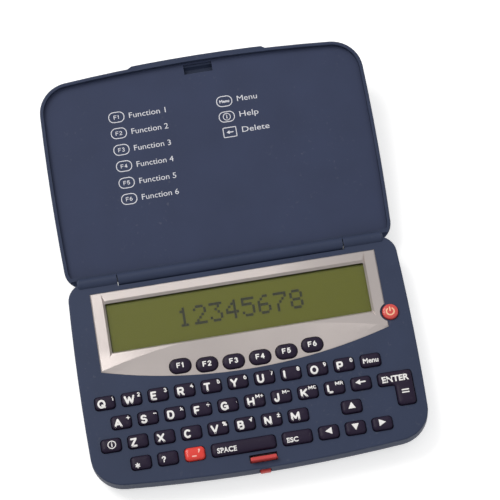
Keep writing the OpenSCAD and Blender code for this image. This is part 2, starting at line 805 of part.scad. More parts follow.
// Outer shell of the lid with the hinge barrel, the rim and the thumb lip
module lid_shell() {
    step = rim_w + liner_seat;
    color(NAVY) opened() difference() {
        union() {
            case_loft(concat(
                [[rim_z, rim_bevel], [rim_z + rim_bevel, 0]],
                [for (h = round_heights(crown_h, 90, 0, round_steps)) [lid_top - h, crown_inset(lid_top - h)]]
            ));
            translate([-barrel_len / 2, hinge_y, axis_z]) rotate([90, 0, 90])
                linear_extrude(barrel_len) neck_profile();
            thumb_lip();
        }
        in_front_of(hinge_y - lid_rear_rim, 0, 2 * lid_top)
            case_slice(rim_w, rim_z - over, liner_top + seat);
        difference() {
            in_front_of(hinge_y - lid_rear_rim - liner_seat, 0, 2 * lid_top)
                case_loft([for (z = [liner_z, lid_top - crown_h / 2, lid_top - lid_skin])
                    [z, step + crown_inset(z)]]);
            for (p = POSTS) post(p, post_r, liner_top + seat, lid_top);
        }
        each_side() along_x(barrel_len / 2, case_w, notch_r);
        each_side() along_x(barrel_len / 2 - pin_in_barrel - hinge_gap, barrel_len / 2 + over, pin_r + pin_run);
    }
}

// Strip along the free edge that a thumb catches
module thumb_lip() {
    taper = 3;
    translate([0, 0, rim_z]) linear_extrude(lip_t) intersection() {
        polygon(outline(-lip_out));
        polygon([
            [-lip_w / 2 - taper, front_y + taper], [-lip_w / 2 + taper, front_y - lip_out],
            [lip_w / 2 - taper, front_y - lip_out], [lip_w / 2 + taper, front_y + taper]
        ]);
    }
}

// Inner panel with the opening that the latch bar enters
module lid_liner() {
    entry_gap = 0.6;
    slot_w = bar_w + 2 * entry_gap;
    slot_d = bar_d + latch_travel + 2 * entry_gap;
    color(NAVY_PANEL) opened() difference() {
        in_front_of(hinge_y - lid_rear_rim - liner_gap, 0, 2 * lid_top)
            case_slice(rim_w + liner_gap, liner_z, liner_top);
        translate([-slot_w / 2, bar_y - bar_d / 2 - entry_gap, liner_z - over])
            cube([slot_w, slot_d, liner_t + 2 * over]);
    }
}

// Bar that holds the lid, with its guide plate and the nub that pushes it back
module latch() {
    plate_lap = 0.6;
    plate_d = bar_d + plate_lap;
    color(RED) union() {
        translate([0, bar_y, latch_top - latch_plate_t])
            cap_block(bar_w, bar_d, 2 * bar_round, bar_round, base_h + bar_proud - latch_top + latch_plate_t);
        translate([-latch_plate_w / 2, bar_y + bar_d / 2 - plate_d, latch_top - latch_plate_t])
            cube([latch_plate_w, plate_d, latch_plate_t]);
        translate([0, bar_y, latch_top - nub_h / 2]) rotate([90, 0, 0])
            cap_block(nub_w, nub_h, 2 * bar_round, bar_round, bar_y - front_y + nub_out);
    }
}

// Key with its hidden flange, described at the origin
module key(w) {
    h = base_h + key_proud - flange_z;
    cap_block(w, key_d, key_corner, key_round, h);
    slab(w + 2 * flange_w, key_d + 2 * flange_w, key_corner + flange_w, 0, flange_t);
}
module keyboard_key(k) {
    color(k[0] == "red" ? RED : KEY_BLACK) translate([k[1], k[2], flange_z]) key(k[3]);
}
module key_enter() {
    h = base_h + key_proud - flange_z;
    leg_d = key_d + pitch_y;
    color(KEY_BLACK) translate([0, 0, flange_z]) {
        translate([enter_x, row_y(1), 0]) cap_block(enter_w, key_d, key_corner, key_round, h);
        translate([enter_leg_x, row_y(1) - pitch_y / 2, 0])
            cap_block(enter_leg_w, leg_d, key_corner, key_round, h);
        linear_extrude(flange_t) enter_shape(flange_w);
    }
}
module function_key(i) {
    color(KEY_BLACK) translate([oval_x(i), oval_y(i), flange_z]) rotate(oval_angle(i)) {
        cap_block(oval_w, oval_d, oval_r, key_round, bezel_top + oval_proud - flange_z);
        slab(oval_w + 2 * flange_w, oval_d + 2 * flange_w, oval_r, 0, flange_t);
    }
}

// Round button with a flange, turned in one piece
module power_button() {
    h = bezel_top + oval_proud - flange_z;
    color(RED) translate([power_x, power_y, flange_z]) rotate_extrude() {
        square([power_r - key_round, h]);
        square([power_r, h - key_round]);
        translate([power_r - key_round, h - key_round]) circle(key_round);
        square([power_r + flange_w, flange_t]);
    }
}

bottom_case();
top_case();
display_bezel();
display_window();
display_module();
circuit_board();
key_mat();
battery_cover();
coin_cells();
case_screws();
hinge_pins();
lid_shell();
lid_liner();
latch();
power_button();
key_enter();
for (k = KEYS) keyboard_key(k);
for (i = [1:oval_count]) function_key(i - 1);
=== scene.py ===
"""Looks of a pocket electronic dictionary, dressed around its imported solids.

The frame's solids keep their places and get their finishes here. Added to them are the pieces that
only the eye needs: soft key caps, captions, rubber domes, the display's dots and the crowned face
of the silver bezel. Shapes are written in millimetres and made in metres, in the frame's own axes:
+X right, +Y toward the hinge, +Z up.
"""

import json
import logging
import math
from dataclasses import dataclass, field
from enum import Enum
from functools import partial
from typing import Callable

import bmesh
import bpy
from mathutils import Matrix, Vector
from mathutils.geometry import delaunay_2d_cdt


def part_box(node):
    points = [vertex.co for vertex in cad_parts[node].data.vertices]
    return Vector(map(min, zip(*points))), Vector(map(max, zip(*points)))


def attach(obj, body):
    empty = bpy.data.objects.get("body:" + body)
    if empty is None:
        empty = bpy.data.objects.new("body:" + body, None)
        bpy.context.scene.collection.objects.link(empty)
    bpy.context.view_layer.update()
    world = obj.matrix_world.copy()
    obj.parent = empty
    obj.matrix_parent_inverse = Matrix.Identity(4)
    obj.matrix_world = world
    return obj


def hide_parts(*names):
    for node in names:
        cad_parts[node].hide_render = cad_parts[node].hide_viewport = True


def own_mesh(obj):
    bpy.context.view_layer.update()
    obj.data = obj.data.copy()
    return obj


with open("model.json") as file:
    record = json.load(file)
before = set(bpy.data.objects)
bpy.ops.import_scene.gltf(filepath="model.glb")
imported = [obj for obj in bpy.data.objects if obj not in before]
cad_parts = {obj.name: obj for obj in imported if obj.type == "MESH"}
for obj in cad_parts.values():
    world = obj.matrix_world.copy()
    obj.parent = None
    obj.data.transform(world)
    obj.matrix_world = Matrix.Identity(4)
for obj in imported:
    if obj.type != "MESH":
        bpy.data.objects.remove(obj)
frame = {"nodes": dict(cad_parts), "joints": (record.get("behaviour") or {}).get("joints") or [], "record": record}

LOG = logging.getLogger("dictionary")
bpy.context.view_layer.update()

MM = 0.001
Colour = tuple[float, float, float, float]
Point = tuple[float, float]
Path = list[Point]
Surface = Callable[[float, float], float]
Feed = bpy.types.NodeSocket | float | Colour


class Slot(Enum):
    """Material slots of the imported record."""

    CASE = "case_navy"
    PANEL = "panel_navy"
    BEZEL = "bezel_silver"
    WINDOW = "window_clear"
    DISPLAY = "display_green"
    BOARD = "board_green"
    MAT = "mat_rubber"
    KEY = "key_dark"
    RED_KEY = "key_red"
    LATCH = "latch_red"
    POWER = "power_red"
    CELL = "cell_steel"
    SCREW = "screw_steel"
    PIN = "pin_steel"


class Align(Enum):
    """Which part of a word stands at its given x."""

    LEFT = 0.0
    MIDDLE = 0.5


def srgb(red: float, green: float, blue: float) -> Colour:
    """Turns a colour as seen on a screen, 0 to 255, into the linear colour that a shader takes.

    Args:
        red: Red, 0 to 255.
        green: Green, 0 to 255.
        blue: Blue, 0 to 255.

    Returns:
        Linear red, green, blue and an alpha of one.
    """
    shares = [value / 255 for value in (red, green, blue)]
    linear = [s / 12.92 if s <= 0.04045 else ((s + 0.055) / 1.055) ** 2.4 for s in shares]
    return (*linear, 1.0)


def darker(colour: Colour, share: float) -> Colour:
    """Returns the colour with its light multiplied by share."""
    return (*(channel * share for channel in colour[:3]), 1.0)


def grey(light: float) -> Colour:
    """Returns a neutral colour of a linear light."""
    return light, light, light, 1.0


class NodeSheet:
    """Places and joins the nodes of one node tree."""

    def __init__(self, tree: bpy.types.NodeTree) -> None:
        """Takes the tree that the nodes go into."""
        self.tree = tree

    def add(
        self, kind: str, inputs: dict[str | int, Feed] | None = None, **settings: object
    ) -> bpy.types.Node:
        """Places one node.

        Args:
            kind: Blender's name for the node's type.
            inputs: What each input takes: another node's output, or a constant.
            settings: The node's own settings.

        Returns:
            The new node.
        """
        node = self.tree.nodes.new(kind)
        for name, value in settings.items():
            setattr(node, name, value)
        self.feed(node, inputs or {})
        return node

    def feed(self, node: bpy.types.Node, inputs: dict[str | int, Feed]) -> None:
        """Joins outputs to a node's inputs, and sets the inputs that take a constant.

        Args:
            node: The node.
            inputs: What each input takes: another node's output, or a constant.
        """
        for name, value in inputs.items():
            if isinstance(value, bpy.types.NodeSocket):
                self.tree.links.new(value, node.inputs[name])
            else:
                node.inputs[name].default_value = value

    def math(self, operation: str, first: Feed, second: Feed) -> bpy.types.NodeSocket:
        """Joins two values with one operation and returns the result, held between 0 and 1."""
        inputs: dict[str | int, Feed] = {0: first, 1: second}
        return self.add("ShaderNodeMath", inputs, operation=operation, use_clamp=True).outputs[0]

    def noise(self, scale: Feed, detail: float = 2.0) -> bpy.types.NodeSocket:
        """Returns a noise value in object space. Scale is in bumps per metre."""
        place = self.add("ShaderNodeTexCoord").outputs["Object"]
        node = self.add("ShaderNodeTexNoise", {"Vector": place, "Scale": scale, "Detail": detail})
        return node.outputs["Fac"]

    def ramp(self, value: Feed, low: Feed, high: Feed) -> bpy.types.NodeSocket:
        """Returns 0 below low and 1 above high, and an even rise between them."""
        node = self.add("ShaderNodeMapRange", {"Value": value, "From Min": low, "From Max": high})
        return node.outputs["Result"]

    def vary(self, value: Feed, low: float, high: float) -> bpy.types.NodeSocket:
        """Returns low where a value is 0 and high where it is 1."""
        node = self.add("ShaderNodeMapRange", {"Value": value, "To Min": low, "To Max": high})
        return node.outputs["Result"]

    def bump(self, height: Feed, depth: float) -> bpy.types.NodeSocket:
        """Returns the normal of a surface with relief of a depth in metres."""
        inputs: dict[str | int, Feed] = {"Height": height, "Distance": depth, "Strength": 1.0}
        return self.add("ShaderNodeBump", inputs).outputs["Normal"]

    def mix(self, share: Feed, first: Feed, second: Feed) -> bpy.types.NodeSocket:
        """Mixes two colours: the first at share 0, the second at share 1."""
        node = self.add("ShaderNodeMix", data_type="RGBA")
        self.feed(node, {0: share, 6: first, 7: second})
        return node.outputs[2]


class Effect(Enum):
    """Effects that several finishes share, each one node group."""

    GRAIN = "moulded_grain"
    WEAR = "edge_wear"
    DUST = "settled_dust"


class EffectShelf:
    """Builds each shared effect once and hands it to the finishes."""

    def __init__(self) -> None:
        """Makes the three node groups."""
        self.groups = {
            Effect.GRAIN: self._grain(),
            Effect.WEAR: self._wear(),
            Effect.DUST: self._dust(),
        }

    @staticmethod
    def _group(
        effect: Effect, inputs: dict[str, float], outputs: tuple[str, ...]
    ) -> tuple[NodeSheet, bpy.types.Node, bpy.types.Node]:
        """Makes an empty group with named float sockets.

        Args:
            effect: Which effect the group is for.
            inputs: Each input's name and its value where a finish gives none.
            outputs: The outputs' names.

        Returns:
            The sheet, the group's input node and its output node.
        """
        tree = bpy.data.node_groups.new(effect.value, "ShaderNodeTree")
        for name, value in inputs.items():
            socket = tree.interface.new_socket(name, in_out="INPUT", socket_type="NodeSocketFloat")
            socket.default_value = value
        for name in outputs:
            tree.interface.new_socket(name, in_out="OUTPUT", socket_type="NodeSocketFloat")
        sheet = NodeSheet(tree)
        return sheet, sheet.add("NodeGroupInput"), sheet.add("NodeGroupOutput")

    def _grain(self) -> bpy.types.NodeTree:
        """Fine pits of a spark-eroded mould, and the slow mottling of moulded plastic."""
        inputs = {"Pits per metre": 3000.0, "Patches per metre": 60.0}
        sheet, inside, out = self._group(Effect.GRAIN, inputs, ("Height", "Mottle"))
        pits = sheet.noise(inside.outputs["Pits per metre"], 3.0)
        patches = sheet.noise(inside.outputs["Patches per metre"], 2.0)
        sheet.feed(out, {"Height": pits, "Mottle": sheet.ramp(patches, 0.3, 0.7)})
        return sheet.tree

    def _wear(self) -> bpy.types.NodeTree:
        """Mask of the edges that hands rub: where a rounded normal leaves the true one."""
        inputs = {"Radius": 0.0004, "Break up": 0.5}
        sheet, inside, out = self._group(Effect.WEAR, inputs, ("Mask",))
        softened = sheet.add("ShaderNodeBevel", {"Radius": inside.outputs["Radius"]}, samples=4)
        true = sheet.add("ShaderNodeNewGeometry")
        normals: dict[str | int, Feed] = {0: softened.outputs["Normal"], 1: true.outputs["Normal"]}
        turned = sheet.add("ShaderNodeVectorMath", normals, operation="DOT_PRODUCT")
        edge = sheet.ramp(turned.outputs["Value"], 0.995, 0.9)
        patchy = sheet.ramp(sheet.noise(220.0, 4.0), inside.outputs["Break up"], 0.75)
        sheet.feed(out, {"Mask": sheet.math("MULTIPLY", edge, patchy)})
        return sheet.tree

    def _dust(self) -> bpy.types.NodeTree:
        """Mask of the dust that settles on faces that look up."""
        sheet, inside, out = self._group(Effect.DUST, {"Specks per metre": 700.0}, ("Mask",))
        normal = sheet.add("ShaderNodeNewGeometry").outputs["Normal"]
        up = sheet.add("ShaderNodeSeparateXYZ", {"Vector": normal}).outputs["Z"]
        specks = sheet.ramp(sheet.noise(inside.outputs["Specks per metre"], 5.0), 0.62, 0.72)
        clouds = sheet.ramp(sheet.noise(40.0, 2.0), 0.45, 0.7)
        lying = sheet.math("MULTIPLY", specks, sheet.ramp(up, 0.6, 1.0))
        sheet.feed(out, {"Mask": sheet.math("MULTIPLY", lying, clouds)})
        return sheet.tree

    def place(self, sheet: NodeSheet, effect: Effect, **values: float) -> bpy.types.Node:
        """Puts an effect into a material.

        Args:
            sheet: The material's sheet.
            effect: Which effect.
            values: The group's inputs, with underscores for the spaces in their names.

        Returns:
            The group's node, whose outputs the finish reads.
        """
        node = sheet.add("ShaderNodeGroup", node_tree=self.groups[effect])
        for name, value in values.items():
            node.inputs[name.replace("_", " ")].default_value = value
        return node


SHELF = EffectShelf()


def new_material(name: str) -> tuple[bpy.types.Material, NodeSheet, bpy.types.Node]:
    """Makes a material with an empty Principled shader.

    Args:
        name: The material's name.

    Returns:
        The material, its sheet and its Principled node.
    """
    material = bpy.data.materials.new(name)
    material.use_nodes = True
    material.node_tree.nodes.clear()
    sheet = NodeSheet(material.node_tree)
    shader = sheet.add("ShaderNodeBsdfPrincipled")
    sheet.add("ShaderNodeOutputMaterial", {"Surface": shader.outputs["BSDF"]})
    return material, sheet, shader


@dataclass(frozen=True)
class MouldedPlastic:
    """Textured or glossy moulded plastic.

    Attributes:
        name: The material's name.
        colour: Its colour.
        roughness: Middle roughness.
        uneven: How far the roughness strays from it.
        pits: Pits of the mould's texture per metre.
        pit_depth: Depth of the pits in metres.
        worn: Colour that rubbed edges show.
        wear: How strongly the edges are rubbed, 0 to 1.
        lint: Colour of the dust.
        dusty: How much of it lies on the object, 0 to 1.
        coat: Weight of a glossy skin.
        coat_roughness: Roughness of that skin.
        specular: Strength of its plain reflection.
    """

    name: str
    colour: Colour
    roughness: float = 0.45
    uneven: float = 0.04
    pits: float = 3000.0
    pit_depth: float = 0.00002
    worn: Colour = srgb(120, 125, 145)
    wear: float = 0.25
    lint: Colour = srgb(205, 203, 200)
    dusty: float = 0.05
    coat: float = 0.0
    coat_roughness: float = 0.12
    specular: float = 0.3

    def build(self) -> bpy.types.Material:
        """Makes the material."""
        material, sheet, shader = new_material(self.name)
        grain = SHELF.place(sheet, Effect.GRAIN, Pits_per_metre=self.pits).outputs
        wear = SHELF.place(sheet, Effect.WEAR).outputs["Mask"]
        dust = SHELF.place(sheet, Effect.DUST).outputs["Mask"]
        deep, pale = darker(self.colour, 0.94), darker(self.colour, 1.05)
        mottled = sheet.mix(grain["Mottle"], deep, pale)
        edged = sheet.mix(sheet.math("MULTIPLY", wear, self.wear), mottled, self.worn)
        low, high = self.roughness - self.uneven, self.roughness + self.uneven
        sheet.feed(shader, {
            "Base Color": sheet.mix(sheet.math("MULTIPLY", dust, self.dusty), edged, self.lint),
            "Roughness": sheet.vary(grain["Mottle"], low, high),
            "Normal": sheet.bump(grain["Height"], self.pit_depth),
            "Specular IOR Level": self.specular,
            "Coat Weight": self.coat,
            "Coat Roughness": self.coat_roughness,
        })
        return material


@dataclass(frozen=True)
class SilverPaint:
    """Silver paint over plastic, with fine flakes.

    Attributes:
        name: The material's name.
        colour: Colour of the paint.
        roughness: Middle roughness.
        uneven: How far the roughness strays from it.
        flakes: Flakes per metre.
        flake_depth: How far the flakes stand out, in metres.
        worn: Colour that rubbed edges show.
        wear: How strongly the edges are rubbed, 0 to 1.
        metallic: Share of its light that it mirrors as metal does.
    """

    name: str
    colour: Colour
    roughness: float = 0.36
    uneven: float = 0.03
    flakes: float = 9000.0
    flake_depth: float = 0.000004
    worn: Colour = srgb(235, 232, 228)
    wear: float = 0.3
    metallic: float = 0.75

    def build(self) -> bpy.types.Material:
        """Makes the material."""
        material, sheet, shader = new_material(self.name)
        grain = SHELF.place(sheet, Effect.GRAIN, Pits_per_metre=self.flakes).outputs
        wear = SHELF.place(sheet, Effect.WEAR, Radius=0.0003).outputs["Mask"]
        glitter = sheet.mix(grain["Height"], darker(self.colour, 0.94), darker(self.colour, 1.06))
        low, high = self.roughness - self.uneven, self.roughness + self.uneven
        sheet.feed(shader, {
            "Base Color": sheet.mix(sheet.math("MULTIPLY", wear, self.wear), glitter, self.worn),
            "Roughness": sheet.vary(grain["Mottle"], low, high),
            "Normal": sheet.bump(grain["Height"], self.flake_depth),
            "Metallic": self.metallic,
        })
        return material


@dataclass(frozen=True)
class PrintedInk:
    """Screen-printed ink, a little uneven in cover.

    Attributes:
        name: The material's name.
        colour: Colour of the ink.
        thin: Light that its thin spots keep, 0 to 1.
        roughness: Its roughness.
    """

    name: str
    colour: Colour
    thin: float = 0.9
    roughness: float = 0.55

    def build(self) -> bpy.types.Material:
        """Makes the material."""
        material, sheet, shader = new_material(self.name)
        grain = SHELF.place(sheet, Effect.GRAIN, Patches_per_metre=900.0)
        cover = sheet.mix(grain.outputs["Mottle"], darker(self.colour, self.thin), self.colour)
        sheet.feed(shader, {"Base Color": cover, "Roughness": self.roughness})
        return material


@dataclass(frozen=True)
class DisplayGreen:
    """Reflective back of a liquid crystal display, with a painted reflection toward its rear edge and painted
    shadow lines along its rear and left edges.

    Attributes:
        name: The material's name.
        low: Colour of most of it.
        high: Colour near its rear edge, lighter than the rest: a painted reflection of the window.
        window_low: Left front lower corner of the window over it, in metres.
        window_high: Right rear upper corner of the window, in metres.
        lap: How far the window reaches under the bezel, in metres.
        painted_shadow_width: Width of the dark line painted along the rear and left edges as the bezel's shadow,
            in metres.
        painted_reflection_start: Share of the depth where the painted reflection begins.
        roughness: Its roughness.
        specular: Strength of its plain reflection.
    """

    name: str
    low: Colour
    high: Colour
    window_low: Vector
    window_high: Vector
    lap: float = 0.001
    painted_shadow_width: float = 0.0006
    painted_reflection_start: float = 0.72
    roughness: float = 0.4
    specular: float = 0.3

    def build(self) -> bpy.types.Material:
        """Makes the material."""
        material, sheet, shader = new_material(self.name)
        place = sheet.add("ShaderNodeTexCoord").outputs["Object"]
        axes = sheet.add("ShaderNodeSeparateXYZ", {"Vector": place}).outputs
        front, rear = self.window_low.y, self.window_high.y
        # Lighter toward the rear edge: a painted reflection of the window, not the display's own colour.
        painted_reflection_share = sheet.ramp(axes["Y"], front + self.painted_reflection_start * (rear - front), rear)
        # Dark lines along the rear and left edges: painted shadow that the bezel's rim casts from the light at the
        # back left.
        rear_painted_shadow = sheet.ramp(axes["Y"], rear - self.lap - self.painted_shadow_width, rear - self.lap)
        left = self.window_low.x + self.lap
        left_painted_shadow = sheet.ramp(axes["X"], left + self.painted_shadow_width, left)
        line = sheet.math("MAXIMUM", rear_painted_shadow, left_painted_shadow)
        # The display's colour with the painted reflection mixed in.
        green = sheet.mix(painted_reflection_share, self.low, self.high)
        # Painted shadow: the display's colour darkened along those lines.
        shaded = sheet.mix(line, green, darker(self.low, 0.3))
        grain = SHELF.place(sheet, Effect.GRAIN, Pits_per_metre=12000.0).outputs["Height"]
        fine = sheet.math("MULTIPLY", grain, 0.12)
        sheet.feed(shader, {
            "Base Color": sheet.mix(fine, shaded, darker(self.low, 0.7)),
            "Roughness": self.roughness,
            "Specular IOR Level": self.specular,
        })
        return material


@dataclass(frozen=True)
class ClearSheet:
    """Clear moulded window: nothing but its reflection shows.

    Attributes:
        name: The material's name.
        ior: Index of refraction.
        gloss: Share of its reflection that is left by its matt coating.
        smooth: Its least roughness.
        smeared: Its greatest roughness.
    """

    name: str
    ior: float = 1.49
    gloss: float = 0.2
    smooth: float = 0.02
    smeared: float = 0.05

    def build(self) -> bpy.types.Material:
        """Makes the material."""
        material, sheet, shader = new_material(self.name)
        mirror = sheet.add("ShaderNodeFresnel", {"IOR": self.ior}).outputs["Fac"]
        grain = SHELF.place(sheet, Effect.GRAIN, Patches_per_metre=120.0).outputs["Mottle"]
        sheet.feed(shader, {
            "Base Color": grey(1.0),
            "Alpha": sheet.math("MULTIPLY", mirror, self.gloss),
            "Roughness": sheet.vary(grain, self.smooth, self.smeared),
            "Metallic": 1.0,
        })
        return material


@dataclass(frozen=True)
class BareSteel:
    """Nickel-plated or bare steel with fine turning marks.

    Attributes:
        name: The material's name.
        colour: Colour of the metal.
        roughness: Middle roughness.
    """

    name: str
    colour: Colour = srgb(196, 196, 194)
    roughness: float = 0.3

    def build(self) -> bpy.types.Material:
        """Makes the material."""
        material, sheet, shader = new_material(self.name)
        marks = {"Pits_per_metre": 6000.0, "Patches_per_metre": 300.0}
        grain = SHELF.place(sheet, Effect.GRAIN, **marks).outputs
        low, high = self.roughness - 0.08, self.roughness + 0.12
        sheet.feed(shader, {
            "Base Color": sheet.mix(grain["Mottle"], darker(self.colour, 0.85), self.colour),
            "Roughness": sheet.vary(grain["Height"], low, high),
            "Metallic": 1.0,
        })
        return material


class Finishes:
    """Every finish of the object, built once."""

    def __init__(self) -> None:
        """Builds the materials, one for each slot of the record and one for each ink."""
        plastics = (
            MouldedPlastic("case_navy", srgb(51, 60, 84), roughness=0.5, specular=0.2),
            MouldedPlastic(
                "panel_navy", srgb(54, 62, 88), roughness=0.55, pits=4200.0, specular=0.2,
            ),
            MouldedPlastic("board_green", srgb(34, 84, 52), pits=900.0, wear=0.0),
            MouldedPlastic("mat_rubber", srgb(150, 148, 142), roughness=0.7, wear=0.0),
            MouldedPlastic(
                "key_dark", srgb(34, 24, 46), pits=5200.0, pit_depth=0.000006,
                worn=srgb(96, 88, 112), wear=0.3, specular=0.2,
            ),
            MouldedPlastic(
                "key_red", srgb(224, 60, 50), roughness=0.3, pits=5200.0, pit_depth=0.000004,
                worn=srgb(240, 120, 104), coat=0.4,
            ),
            MouldedPlastic(
                "latch_red", srgb(200, 70, 68), roughness=0.36, pit_depth=0.000006,
                worn=srgb(226, 120, 112),
            ),
            MouldedPlastic(
                "power_red", srgb(210, 76, 70), roughness=0.3, pit_depth=0.000004,
                worn=srgb(236, 130, 120), coat=0.4,
            ),
        )
        # The lighter second colour of the display is a painted reflection toward its rear edge.
        display = DisplayGreen(
            "display_green", srgb(100, 103, 29), srgb(105, 108, 36), *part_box("display_window")
        )
        others = (
            SilverPaint("bezel_silver", srgb(197, 188, 185)),
            ClearSheet("window_clear"),
            display,
            BareSteel("cell_steel"),
            BareSteel("screw_steel", srgb(150, 150, 152), 0.34),
            # The hinge pins are darker than the other steel: painted shade of the narrow gap they sit in.
            BareSteel("pin_steel", srgb(96, 97, 100), 0.4),
        )
        self.by_slot = {Slot(finish.name): finish.build() for finish in plastics + others}
        self.key_ink = PrintedInk("ink_key_white", srgb(244, 242, 240)).build()
        self.lid_ink = PrintedInk("ink_lid_white", srgb(226, 226, 232)).build()
        self.power_ink = PrintedInk("ink_power_pale", srgb(255, 200, 160)).build()
        self.red_key_ink = PrintedInk("ink_red_key_pale", srgb(255, 190, 176)).build()
        self.dot_ink = PrintedInk("ink_display_dots", srgb(34, 37, 14), 0.95).build()

    def dress_nodes(self) -> None:
        """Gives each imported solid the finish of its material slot."""
        for part in frame["record"]["subparts"]:
            node = frame["nodes"][part["node"]]
            node.data.materials.clear()
            node.data.materials.append(self.by_slot[Slot(part["material_slot"])])


def circle(centre: Point, radius: float, steps: int = 24) -> Path:
    """Returns points around a circle, counterclockwise."""
    turns = [2 * math.pi * i / steps for i in range(steps)]
    return [(centre[0] + radius * math.cos(a), centre[1] + radius * math.sin(a)) for a in turns]


def rectangle(left: float, front: float, right: float, rear: float) -> Path:
    """Returns the corners of an upright rectangle, counterclockwise."""
    return [(left, front), (right, front), (right, rear), (left, rear)]


def signed_area(path: Path) -> float:
    """Returns a polygon's area, which is negative where its points run clockwise."""
    return sum(a[0] * b[1] - b[0] * a[1] for a, b in zip(path, path[1:] + path[:1])) / 2


def rounded(corners: Path, radius: float, inset: float = 0.0, steps: int = 5) -> Path:
    """Draws a polygon inward and rounds its corners.

    Args:
        corners: The sharp corners, counterclockwise.
        radius: Corner radius where the inset is zero.
        inset: How far each side moves inward.
        steps: Pieces of each corner's arc.

    Returns:
        The points, counterclockwise, as many for any inset.
    """
    points: Path = []
    for i, corner in enumerate(corners):
        here = Vector(corner)
        before = (here - Vector(corners[i - 1])).normalized()
        after = (Vector(corners[(i + 1) % len(corners)]) - here).normalized()
        left_before = Vector((-before.y, before.x))
        left_after = Vector((-after.y, after.x))
        turn = math.atan2(before.x * after.y - before.y * after.x, before.dot(after))
        side = 1.0 if turn > 0 else -1.0
        bend = max(radius - side * inset, 0.12)
        reach = (inset + side * bend) / (1.0 + left_before.dot(left_after))
        centre = here + reach * (left_before + left_after)
        start = -side * bend * left_before
        for k in range(steps + 1):
            angle = turn * k / steps
            cos, sin = math.cos(angle), math.sin(angle)
            points.append(
                (centre.x + start.x * cos - start.y * sin, centre.y + start.x * sin + start.y * cos)
            )
    return points


def new_piece(
    name: str,
    points: list[Vector],
    faces: list[tuple[int, ...]],
    body: str,
    slot: Slot,
    material: bpy.types.Material,
    sharp: float = 35.0,
) -> bpy.types.Object:
    """Makes a closed piece from points in millimetres and lets it ride on a body.

    Args:
        name: The piece's name.
        points: Points in the frame's axes, in millimetres.
        faces: Each face's point numbers.
        body: Body that it moves with.
        slot: Slot of the record that its finish belongs to; not used.
        material: Its finish.
        sharp: Edges that turn by more degrees than this stay sharp.

    Returns:
        The piece.
    """
    mesh = bpy.data.meshes.new(name)
    mesh.from_pydata([tuple(MM * c for c in p) for p in points], [], faces)
    shaped = bmesh.new()
    shaped.from_mesh(mesh)
    bmesh.ops.recalc_face_normals(shaped, faces=shaped.faces)
    shaped.to_mesh(mesh)
    shaped.free()
    mesh.polygons.foreach_set("use_smooth", [True] * len(mesh.polygons))
    mesh.set_sharp_from_angle(angle=math.radians(sharp))
    mesh.materials.append(material)
    piece = bpy.data.objects.new(name, mesh)
    bpy.context.scene.collection.objects.link(piece)
    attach(piece, body)
    return piece


def loft(rings: list[tuple[Path, float]]) -> tuple[list[Vector], list[tuple[int, ...]]]:
    """Joins level rings of equal length into a closed solid.

    Args:
        rings: Each ring's points, counterclockwise, and its height, the lowest first.

    Returns:
        The points and the faces.
    """
    count = len(rings[0][0])
    points = [Vector((x, y, z)) for path, z in rings for x, y in path]
    last = (len(rings) - 1) * count
    faces: list[tuple[int, ...]] = [
        tuple(reversed(range(count))),
        tuple(range(last, last + count)),
    ]
    for level in range(len(rings) - 1):
        for i in range(count):
            a, b = level * count + i, level * count + (i + 1) % count
            faces.append((a, b, b + count, a + count))
    return points, faces


def plate(
    shapes: list[Path],
    holes: list[Path],
    creases: list[Path],
    top: Surface,
    bottom: Surface,
) -> tuple[list[Vector], list[tuple[int, ...]]]:
    """Makes a closed plate of any outline whose two faces follow given heights.

    Args:
        shapes: Outlines, which may overlap and are joined.
        holes: Outlines that are cut out.
        creases: Open lines along which the plate may fold.
        top: Function from x and y to the height of the upper face.
        bottom: Function from x and y to the height of the lower face.

    Returns:
        The points and the faces.
    """
    flat: list[Vector] = []
    loops: list[list[int]] = []
    for path in shapes + holes:
        loops.append(list(range(len(flat), len(flat) + len(path))))
        flat.extend(Vector(p) for p in path)
    lines: list[tuple[int, int]] = []
    for path in creases:
        start = len(flat)
        flat.extend(Vector(p) for p in path)
        lines.extend((start + i, start + i + 1) for i in range(len(path) - 1))
    out = delaunay_2d_cdt(flat, lines, loops, 0, 1e-4, True)
    inside = set(range(len(shapes)))
    kept = [
        tuple(face)
        for face, origins in zip(out[2], out[5])
        if set(origins) & inside and not set(origins) - inside
    ]
    used = sorted({corner for face in kept for corner in face})
    number = {old: new for new, old in enumerate(used)}
    count = len(used)
    points = [Vector((out[0][i].x, out[0][i].y, top(out[0][i].x, out[0][i].y))) for i in used]
    points += [Vector((out[0][i].x, out[0][i].y, bottom(out[0][i].x, out[0][i].y))) for i in used]
    faces: list[tuple[int, ...]] = []
    rims: dict[tuple[int, int], bool] = {}
    for face in kept:
        corners = [number[c] for c in face]
        faces.append(tuple(corners))
        faces.append(tuple(c + count for c in reversed(corners)))
        for a, b in zip(corners, corners[1:] + corners[:1]):
            if (b, a) in rims:
                del rims[(b, a)]
            else:
                rims[(a, b)] = True
    faces.extend((b, a, a + count, b + count) for a, b in rims)
    return points, faces


def oval_arc(cx: float, cy: float, rx: float, ry: float, start: float, end: float) -> Path:
    """Returns points along an ellipse between two angles in degrees."""
    steps = max(3, round(abs(end - start) / 22))
    angles = [math.radians(start + (end - start) * i / steps) for i in range(steps + 1)]
    return [(cx + rx * math.cos(a), cy + ry * math.sin(a)) for a in angles]


def bowl(left: float, low: float, high: float, width: float = 1.0) -> Path:
    """Returns a letter's bowl that opens to the left, from its upper end to its lower end."""
    half = (high - low) / 2
    turn = width - left - half * 0.9
    return (
        [(left, high)]
        + oval_arc(left + turn, low + half, width - left - turn, half, 90, -90)
        + [(left, low)]
    )


